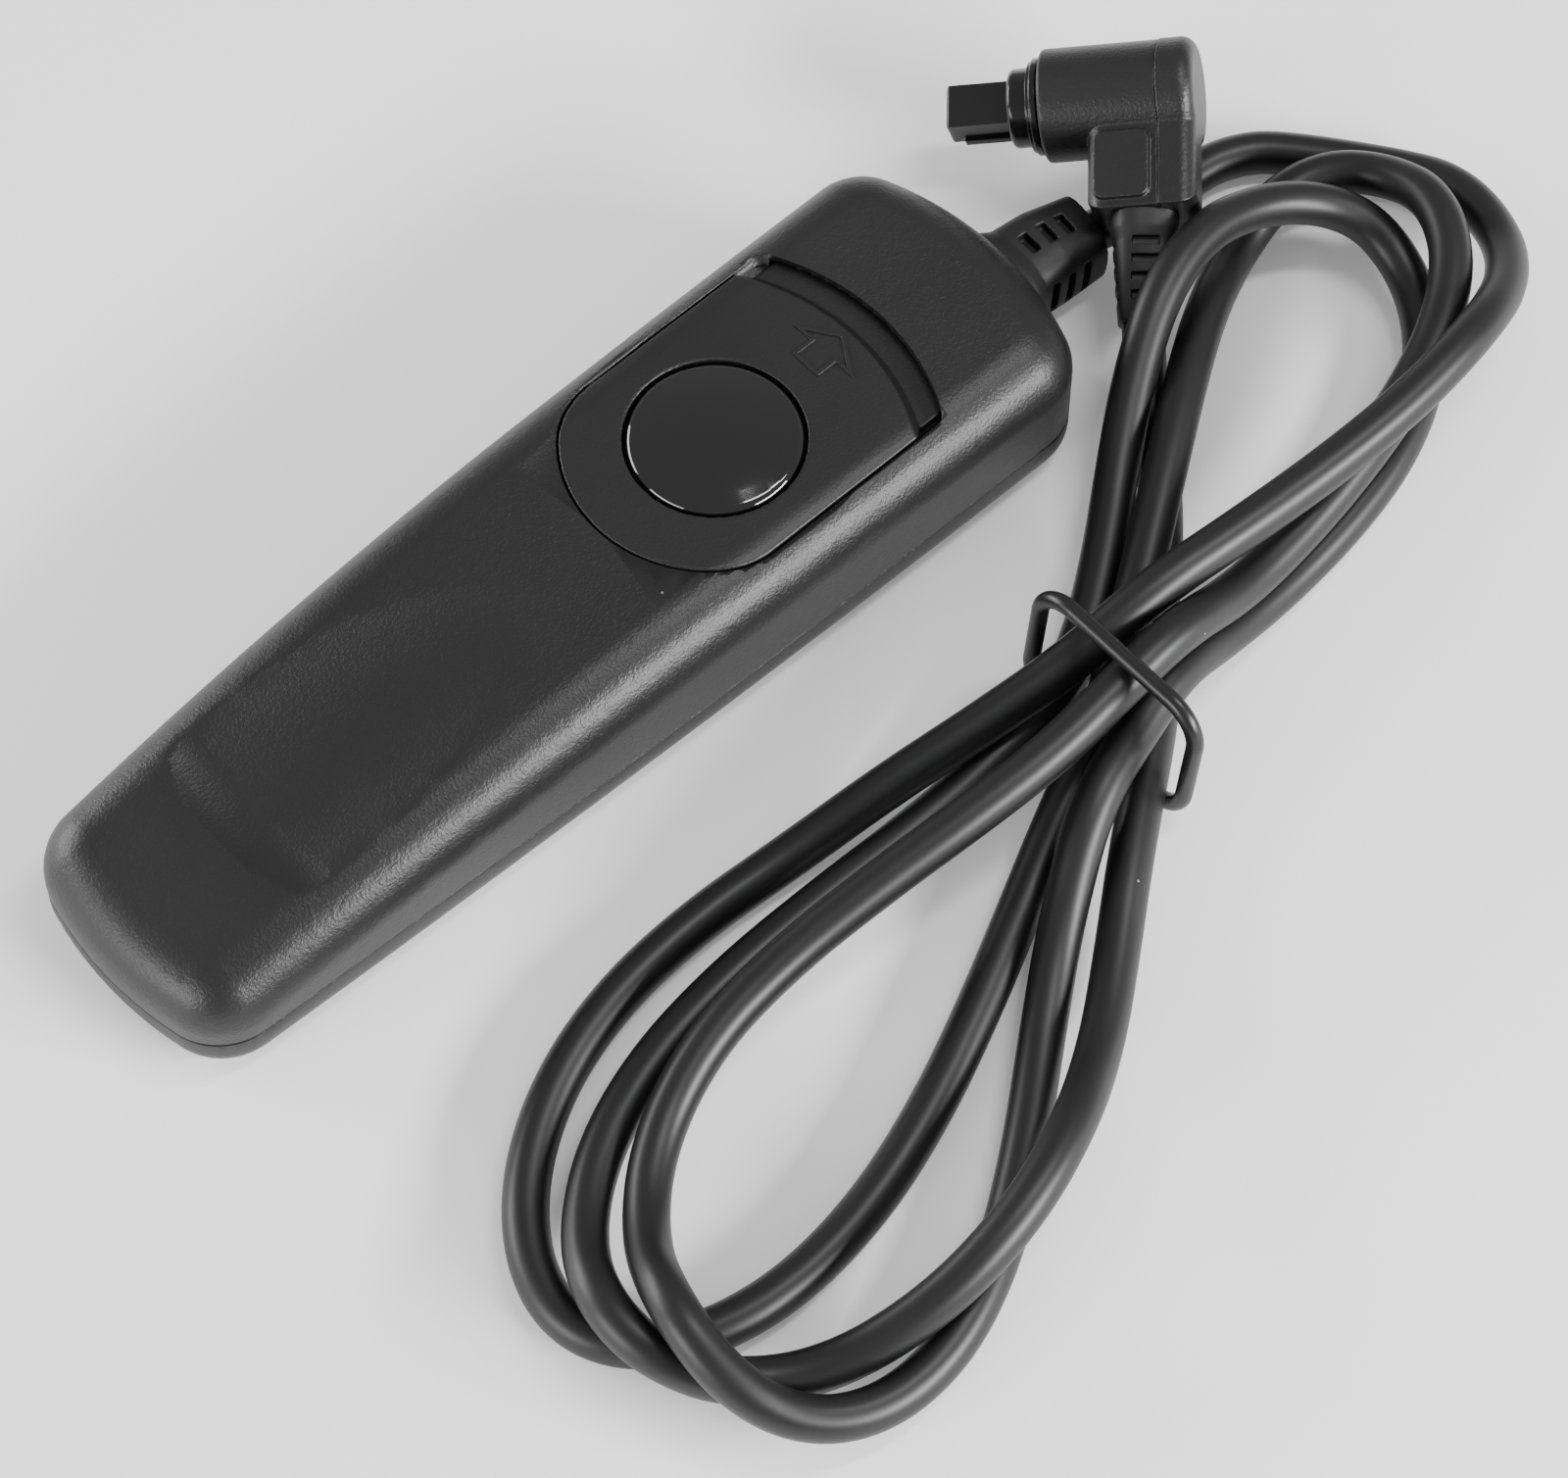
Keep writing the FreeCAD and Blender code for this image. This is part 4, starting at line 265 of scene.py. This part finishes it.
# %% Route of the cord
CORD_DIAMETER = 4.1
CORD_RADIUS = CORD_DIAMETER / 2
HANK_ENTRY = ((90.0, -11.3), (92.4, -14.5))
HANK_START = (27.8, -36.3)
STATIONS = 18
STATION_EASE = 0.05
BIGHTS = {
    "outer_top": {
        "bearing": 29.2, "reach": 66.8, "bow": -10.8, "slot": (27.9, -35.3),
        "near": 42.2, "middle": 2.8, "far": -5.8,
        "heights": ((0.5, 2.05), (0.58, 4.2), (0.66, 4.9), (0.72, 8.7), (0.78, 12.0),
                    (0.94, 12.1), (0.97, 12.3), (1, 9.3))},
    "outer_low": {
        "bearing": 185.9, "reach": 73.3, "bow": 5.1, "slot": (28.1, -39.7),
        "near": -19.9, "middle": -26.1, "far": 22.1,
        "heights": ((0.03, 7.6), (0.06, 6.4), (0.14, 2.05), (0.92, 2.05), (0.96, 3.0),
                    (1, 4.8))},
    "middle_top": {
        "bearing": 17.7, "reach": 65.2, "bow": 5.5, "slot": (28.4, -41.1),
        "near": 15.6, "middle": 3.1, "far": 5.6,
        "heights": ((0.03, 6.2), (0.075, 7.0), (0.14, 8.2), (0.26, 4.6), (0.3, 2.6), (0.34, 3.6),
                    (0.42, 4.6), (0.48, 5.2), (0.6, 8.6), (0.71, 8.3), (0.9, 6.8), (0.935, 8.9),
                    (0.97, 12.6), (1, 12.2))},
    "inner_low": {
        "bearing": 191.0, "reach": 70.8, "bow": 9.0, "slot": (27.9, -43.8),
        "near": -1.6, "middle": -73.8, "far": 46.4,
        "heights": ((0.03, 11.9), (0.08, 10.8), (0.13, 8.8), (0.2, 6.2), (0.24, 5.5),
                    (0.32, 3.7), (0.35, 4.4), (0.41, 9.5), (0.455, 12.0), (0.475, 9.5),
                    (0.51, 8.0), (0.56, 5.6), (0.6, 3.7), (0.9, 2.05), (0.935, 5.9),
                    (0.965, 9.4), (1, 8.2))},
    "inner_top": {
        "bearing": 21.5, "reach": 60.1, "bow": -0.6, "slot": (27.7, -34.8),
        "near": -2.7, "middle": -48.4, "far": 32.5,
        "heights": ((0.02, 8.2), (0.05, 8.2), (0.08, 3.9), (0.13, 2.05), (0.41, 2.8),
                    (0.46, 4.3), (0.52, 5.8), (0.6, 7.6), (0.67, 9.8), (0.74, 11.7), (0.8, 10.0),
                    (0.87, 6.0), (0.92, 4.7), (0.96, 4.0), (1, 4.2))},
    "middle_low": {
        "bearing": 201.0, "reach": 71.8, "bow": -8.2, "slot": (27.9, -45.6),
        "near": -19.2, "middle": -39.8, "far": 34.8,
        "heights": ((0.03, 3.3), (0.07, 2.05), (0.36, 4.3), (0.42, 7.0), (0.465, 8.2),
                    (0.49, 6.8), (0.54, 5.6), (0.59, 2.9), (0.65, 3.5), (0.72, 7.0),
                    (0.765, 8.7), (0.795, 9.3), (0.86, 5.9), (0.885, 3.4), (0.92, 3.4),
                    (0.96, 4.4), (1, 4.0))},
}

LEAD_FIRST_RUN = 4.3
LEAD_POINTS = ((73.2, -1.75, 2.05), (78.54, -1.62, 2.05), (82.2, -2.8, 2.05))
LEAD_LAST_RUN = 3.8
TAIL_FIRST_RUN = 3.4
TAIL_POINTS = ((38.6, -35.7, 2.05), (46.2, -29.2, 2.05), (53.6, -21.0, 2.2))
TAIL_LAST_RUN = 5.0

GRIP_HEAD = 52.81
SLEEVE_LENGTH = 10.85
SLEEVE_HEIGHT = 5.1
SLEEVE_END = (63.6, -0.84, 4.3)
PLUG_CENTRE = (74.9, 3.16, 11.6)
STEM_WAY = (-0.6774, -0.7071, -0.2026)
STEM_LENGTH = 12.4
PLUG_CORD_BEARING = 226.2
PLUG_CORD_DIP = 20.7
PLUG_SLEEVE_LENGTH = 10.0
CORD_IN_SLEEVE = 1.5


def climb(knots, at):
    """Height along the cord: a smooth run through the knots that never overshoots them."""
    for k in range(len(knots) - 1):
        if at <= knots[k + 1][0] or k == len(knots) - 2:
            break
    (t0, z0), (t1, z1) = knots[k], knots[k + 1]
    run = t1 - t0

    def slope_at(j):
        if j == 0 or j == len(knots) - 1:
            return 0.0
        (ta, za), (tb, zb), (tc, zc) = knots[j - 1], knots[j], knots[j + 1]
        before, after = (zb - za) / (tb - ta), (zc - zb) / (tc - tb)
        if before * after <= 0:
            return 0.0
        w_before, w_after = 2 * (tc - tb) + (tb - ta), (tc - tb) + 2 * (tb - ta)
        return (w_before + w_after) / (w_before / before + w_after / after)

    u = (at - t0) / run
    m0, m1 = slope_at(k) * run, slope_at(k + 1) * run
    return ((2 * u ** 3 - 3 * u ** 2 + 1) * z0 + (u ** 3 - 2 * u ** 2 + u) * m0
            + (3 * u ** 2 - 2 * u ** 3) * z1 + (u ** 3 - u ** 2) * m1)


def hank_points():
    """Points of the hank: each bight leaves the ring, swings out to its reach and comes back."""
    knots = [(number + share, z) for number, bight in enumerate(BIGHTS.values())
             for share, z in bight["heights"]]
    points = [(x, y, CORD_RADIUS) for x, y in HANK_ENTRY]
    start = HANK_START
    for number, bight in enumerate(BIGHTS.values()):
        bearing = math.radians(bight["bearing"])
        end = bight["slot"]
        first = STATIONS // 2 + 1 if number == 0 else 0
        for k in range(first, STATIONS):
            share = k / STATIONS - STATION_EASE * math.sin(2 * math.pi * k / STATIONS)
            s, c = math.sin(math.pi * share), math.cos(math.pi * share)
            out = bight["reach"] * s
            width = bight["near"] * s + bight["middle"] * s ** 2 + bight["far"] * s ** 3
            across = c * width + bight["bow"] * s ** 2
            x, y = start[0] + (end[0] - start[0]) * share, start[1] + (end[1] - start[1]) * share
            x += out * math.cos(bearing) - across * math.sin(bearing)
            y += out * math.sin(bearing) + across * math.cos(bearing)
            points.append((x, y, max(CORD_RADIUS, climb(knots, number + share))))
        start = end
    points.append((start[0], start[1], knots[-1][1]))
    return points


def unit(v):
    v = np.array(v, float)
    return v / np.linalg.norm(v)


def cord_route():
    """Grip sleeve, lead, hank, tail and plug sleeve as one list of points, in millimetres."""
    yaw = 2 * math.asin(SLEEVE_END[1] / SLEEVE_LENGTH)
    fall = (SLEEVE_END[2] - SLEEVE_HEIGHT) / SLEEVE_LENGTH
    leave = np.array((GRIP_HEAD + SLEEVE_LENGTH * math.cos(yaw / 2), SLEEVE_END[1], SLEEVE_END[2]))
    leave_way = unit((math.cos(yaw), math.sin(yaw), fall))
    hank = [np.array(p) for p in hank_points()]
    first_way, last_way = unit(hank[1] - hank[0]), unit(hank[-1] - hank[-2])
    hank_start, hank_end = hank[0] - first_way * CORD_DIAMETER, hank[-1] + last_way * CORD_DIAMETER
    bearing, dip = math.radians(PLUG_CORD_BEARING), math.radians(PLUG_CORD_DIP)
    level = math.cos(dip)
    sleeve_way = np.array((level * math.cos(bearing), level * math.sin(bearing), -math.sin(dip)))
    stem_end = np.array(PLUG_CENTRE) + np.array(STEM_WAY) * STEM_LENGTH
    arrive = stem_end + sleeve_way * PLUG_SLEEVE_LENGTH
    route = [leave - leave_way * CORD_IN_SLEEVE, leave + leave_way * LEAD_FIRST_RUN]
    route += [np.array(p) for p in LEAD_POINTS] + [hank_start - first_way * LEAD_LAST_RUN]
    route += hank[1:-1] + [hank_end + last_way * TAIL_FIRST_RUN]
    route += [np.array(p) for p in TAIL_POINTS]
    route += [arrive + sleeve_way * TAIL_LAST_RUN, arrive - sleeve_way * CORD_IN_SLEEVE]
    return np.array(route), leave


# %% [markdown]
# A flexible cord bends smoothly everywhere, so its line is one NURBS spline with the route's
# points as control points. The curve's own round bevel gives it the jacket.

# %% Cord
CORD_STEPS = 8
route, cord_exit = cord_route()
cord_data = bpy.data.curves.new("cord", "CURVE")
cord_data.dimensions = "3D"
cord_data.bevel_depth = CORD_RADIUS * MM
cord_data.bevel_resolution = CORD_STEPS
cord_data.use_fill_caps = True
spline = cord_data.splines.new("NURBS")
spline.points.add(len(route) - 1)
spline.points.foreach_set("co", np.column_stack([route * MM, np.ones(len(route))]).ravel())
spline.order_u = 3
spline.use_endpoint_u = True
spline.resolution_u = CORD_STEPS
cord_data.resolution_u = CORD_STEPS
cord_data.render_resolution_u = CORD_STEPS
cord_piece = bpy.data.objects.new("cord", cord_data)
bpy.context.collection.objects.link(cord_piece)
cord_data.materials.append(cord_black)
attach(cord_piece, "grip")
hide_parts("cord_lead", "cord_hank", "cord_tail")
print("cord has", len(route), "control points")

# %% [markdown]
# The engineering model's faces are right, but flat-shaded: each facet would show in a highlight.
# A copy of a node is merged and shaded smooth up to the true edges, and its normals follow
# the larger faces, so a flat stays flat beside a fillet. A small part with many fillets is cut
# into even cells instead, with a cell's size in millimetres, and relaxed, which also takes the
# razor edges off as a mould does. The copy then stands for the node.

# %% Smooth copies of the moulded parts
SHARP_ANGLE = 32.0
LARGE_FACE_WEIGHT = 60
MERGE_DISTANCE = 2e-6
SLIVER = 1e-6
RELAX_SHARE, RELAX_ROUNDS = 0.5, 4


def show(obj, body, material, nodes):
    """Links a finished piece, gives it its finish and body, and hides the nodes it stands for."""
    bpy.context.collection.objects.link(obj)
    obj.data.materials.clear()
    obj.data.materials.append(material)
    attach(obj, body)
    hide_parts(*nodes)


def smooth_copy(node, name, body, material, voxel=0.0):
    """Merges the node's loose facets, then keeps its sharp edges or evens it out in small cells."""
    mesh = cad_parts[node].data.copy()
    mesh.name = name
    work = bmesh.new()
    work.from_mesh(mesh)
    bmesh.ops.remove_doubles(work, verts=work.verts, dist=MERGE_DISTANCE)
    bmesh.ops.dissolve_degenerate(work, edges=work.edges, dist=SLIVER)
    work.to_mesh(mesh)
    work.free()
    mesh.polygons.foreach_set("use_smooth", np.ones(len(mesh.polygons), bool))
    obj = bpy.data.objects.new(name, mesh)
    if voxel:
        cells = obj.modifiers.new("even cells", "REMESH")
        cells.mode = "VOXEL"
        cells.voxel_size = voxel * MM
        cells.use_smooth_shade = True
        relax = obj.modifiers.new("relax", "SMOOTH")
        relax.factor = RELAX_SHARE
        relax.iterations = RELAX_ROUNDS
    else:
        mesh.set_sharp_from_angle(angle=math.radians(SHARP_ANGLE))
        weighted = obj.modifiers.new("even normals", "WEIGHTED_NORMAL")
        weighted.keep_sharp = True
        weighted.weight = LARGE_FACE_WEIGHT
    show(obj, body, material, [node])
    print(name, "has", len(mesh.polygons), "faces")
    return obj


smooth_copy("upper_shell", "grip_top", "grip", shell_black)
smooth_copy("lower_shell", "grip_base", "grip", shell_black)
smooth_copy("lock_slider", "lock_plate", "lock", plate_black, voxel=0.17)
smooth_copy("release_button", "button_cap", "button", button_gloss)
smooth_copy("handle_strain_relief", "grip_sleeve", "grip", relief_black, voxel=0.11)
plug_front = smooth_copy("plug_housing", "plug_front", "grip", plug_black,
                         voxel=0.11)
plug_back = smooth_copy("plug_rear_cover", "plug_back", "grip", plug_black,
                        voxel=0.1)
plug_nose = smooth_copy("plug_contact_block", "plug_nose", "grip", nose_black)
plug_ring = smooth_copy("plug_collar", "plug_ring", "collar", collar_gloss,
                        voxel=0.07)
plug_sleeve = smooth_copy("plug_strain_relief", "plug_sleeve", "grip", relief_black,
                          voxel=0.08)
rubber_ring = smooth_copy("cord_tie", "rubber_ring", "grip", tie_black)

# %% [markdown]
# A generic arrow moulded on the lock plate shows which way it slides to hold the button. It is a
# closed ribbon round an arrow's outline, 0.17 mm proud of the plate and in the plate's own plastic.

# %% Arrow on the plate
ARROW_TIP_X, ARROW_WING_X, ARROW_TAIL_X = 34.0, 31.3, 29.1
ARROW_MIDDLE_Y, ARROW_HALF_WING, ARROW_HALF_TAIL = 0.3, 4.0, 1.7
ARROW_STROKE = 0.42
ARROW_BASE = 15.95
ARROW_TOP = 16.17
ARROW_EDGE = 0.1


def arrow_outline():
    """Seven corners from the tip round the wings and the tail."""
    wing_up, wing_down = ARROW_MIDDLE_Y + ARROW_HALF_WING, ARROW_MIDDLE_Y - ARROW_HALF_WING
    tail_up, tail_down = ARROW_MIDDLE_Y + ARROW_HALF_TAIL, ARROW_MIDDLE_Y - ARROW_HALF_TAIL
    return np.array([(ARROW_TIP_X, ARROW_MIDDLE_Y), (ARROW_WING_X, wing_up), (ARROW_WING_X, tail_up),
                     (ARROW_TAIL_X, tail_up), (ARROW_TAIL_X, tail_down), (ARROW_WING_X, tail_down),
                     (ARROW_WING_X, wing_down)])


def offset_loop(loop, inset):
    """Moves each corner of a closed loop inwards so that both its sides move by the inset."""
    ahead = np.roll(loop, -1, 0) - loop
    ahead /= np.linalg.norm(ahead, axis=1)[:, None]
    normal = np.column_stack([-ahead[:, 1], ahead[:, 0]])
    both = normal + np.roll(normal, 1, 0)
    return loop + both * (inset / (0.5 * (both ** 2).sum(1)))[:, None]


def ribbon(loop, stroke, low, high, name):
    """A flat ring between a loop and its inset, raised from low to high, as four closed rows."""
    inner = offset_loop(loop, stroke)
    rows = [(loop, low), (loop, high), (inner, high), (inner, low)]
    points = np.concatenate([np.column_stack([ring, np.full(len(ring), z)]) for ring, z in rows]) * MM
    count = len(loop)
    k = np.arange(count)
    after = (k + 1) % count
    faces = []
    for row in range(len(rows)):
        a, b = row * count, ((row + 1) % len(rows)) * count
        faces.append(np.column_stack([a + k, a + after, b + after, b + k]))
    mesh = bpy.data.meshes.new(name)
    mesh.from_pydata(points.tolist(), [], np.concatenate(faces).tolist())
    work = bmesh.new()
    work.from_mesh(mesh)
    bmesh.ops.recalc_face_normals(work, faces=work.faces)
    work.to_mesh(mesh)
    work.free()
    return bpy.data.objects.new(name, mesh)


arrow = ribbon(arrow_outline(), ARROW_STROKE, ARROW_BASE, ARROW_TOP, "plate_arrow")
edge = arrow.modifiers.new("soft edges", "BEVEL")
edge.width = ARROW_EDGE * MM
edge.segments = 2
show(arrow, "lock", plate_black, [])
print("arrow is", round(ARROW_TIP_X - ARROW_TAIL_X, 2), "mm long")

# %% [markdown]
# The parts inside keep their engineering shapes, which are right. Each gets its real material:
# drawn steel for springs, brass for strips and contacts, brown board for the pads between them.

# %% Finishes of the inner parts
INNER = {
    "slider_retainer": inner_black, "contact_base": inner_black, "leaf_spacers": board_brown,
    "detent_spring": spring_wire, "return_spring": spring_wire, "plug_collar_spring": spring_wire,
    "full_press_leaf": contact_brass, "half_press_leaf": contact_brass, "common_leaf": contact_brass,
    "plug_contacts": contact_brass, "contact_screws": screw_zinc, "clamp_screws": screw_zinc,
    "case_screws": screw_zinc, "solder_joints": solder_tin, "cord_clamp": clamp_strip,
    "lead_wires": wire_red, "cord_jacket_end": cord_black,
}
for node, material in INNER.items():
    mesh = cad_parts[node].data
    mesh.materials.clear()
    mesh.materials.append(material)
print(len(INNER), "inner nodes finished")

# %% [markdown]
# The photograph shows the cord from end to end, so nothing of it is put away.

# %% [markdown]
# The object lies on a pale paper sheet, a tenth of a millimetre under it, so the two never flicker
# through each other. The sheet glows a little, which keeps its far corners as pale as the middle.

# %% Floor
FLOOR_HALF = 3.0
FLOOR_DROP = 0.0001
corners = [(-1, -1), (1, -1), (1, 1), (-1, 1)]
floor_mesh = bpy.data.meshes.new("floor")
floor_mesh.from_pydata([(x * FLOOR_HALF, y * FLOOR_HALF, -FLOOR_DROP) for x, y in corners], [],
                       [(0, 1, 2, 3)])
floor = bpy.data.objects.new("floor", floor_mesh)
bpy.context.collection.objects.link(floor)
floor_finish = Finish("floor_white", roughness=0.8, emission_strength=0.14)
floor_finish.shader.inputs["Emission Color"].default_value = grey(1.0)
paper = floor_finish.noise(floor_finish.place(), 40.0, 2.0)
floor_finish.feed("Base Color", floor_finish.blend(paper, grey(0.96), grey(0.975)))
floor.data.materials.append(floor_finish.material)

# %% [markdown]
# The sky is an even white. Four soft windows do the drawing: a long low one right of the picture
# lays the band along the grip's edge, a narrow high one lights the button's lower edge, and two
# weaker ones lift the far sides. Each has a direction, a distance, a size in metres and its watts.

# %% Lights
SKY_STRENGTH = 0.5
WINDOWS = (
    ("window_right", (0.34, -0.87, 0.42), 0.75, (0.5, 0.12), 11.0),
    ("window_high", (0.355, -0.14, 0.924), 0.8, (0.08, 0.34), 2.1),
    ("window_left", (-0.9, 0.1, 0.3), 0.9, (0.6, 0.3), 6.0),
    ("window_back", (-0.4, 0.9, 0.25), 1.0, (0.7, 0.3), 8.0),
)
world = bpy.data.worlds.new("studio")
bpy.context.scene.world = world
world.use_nodes = True
sky = world.node_tree.nodes["Background"]
sky.inputs["Color"].default_value = (1.0, 1.0, 1.0, 1.0)
sky.inputs["Strength"].default_value = SKY_STRENGTH


def soft_light(name, way, distance, size, power):
    """An area light that looks at the middle of the object from a direction."""
    data = bpy.data.lights.new(name, "AREA")
    data.shape = "RECTANGLE"
    data.size, data.size_y = size
    data.energy = power
    lamp = bpy.data.objects.new(name, data)
    lamp.location = Vector(way).normalized() * distance + LOOK_AT
    lamp.rotation_mode = "QUATERNION"
    lamp.rotation_quaternion = Vector(way).normalized().to_track_quat("Z", "Y")
    bpy.context.collection.objects.link(lamp)


for window in WINDOWS:
    soft_light(*window)
print(len(WINDOWS), "soft windows")
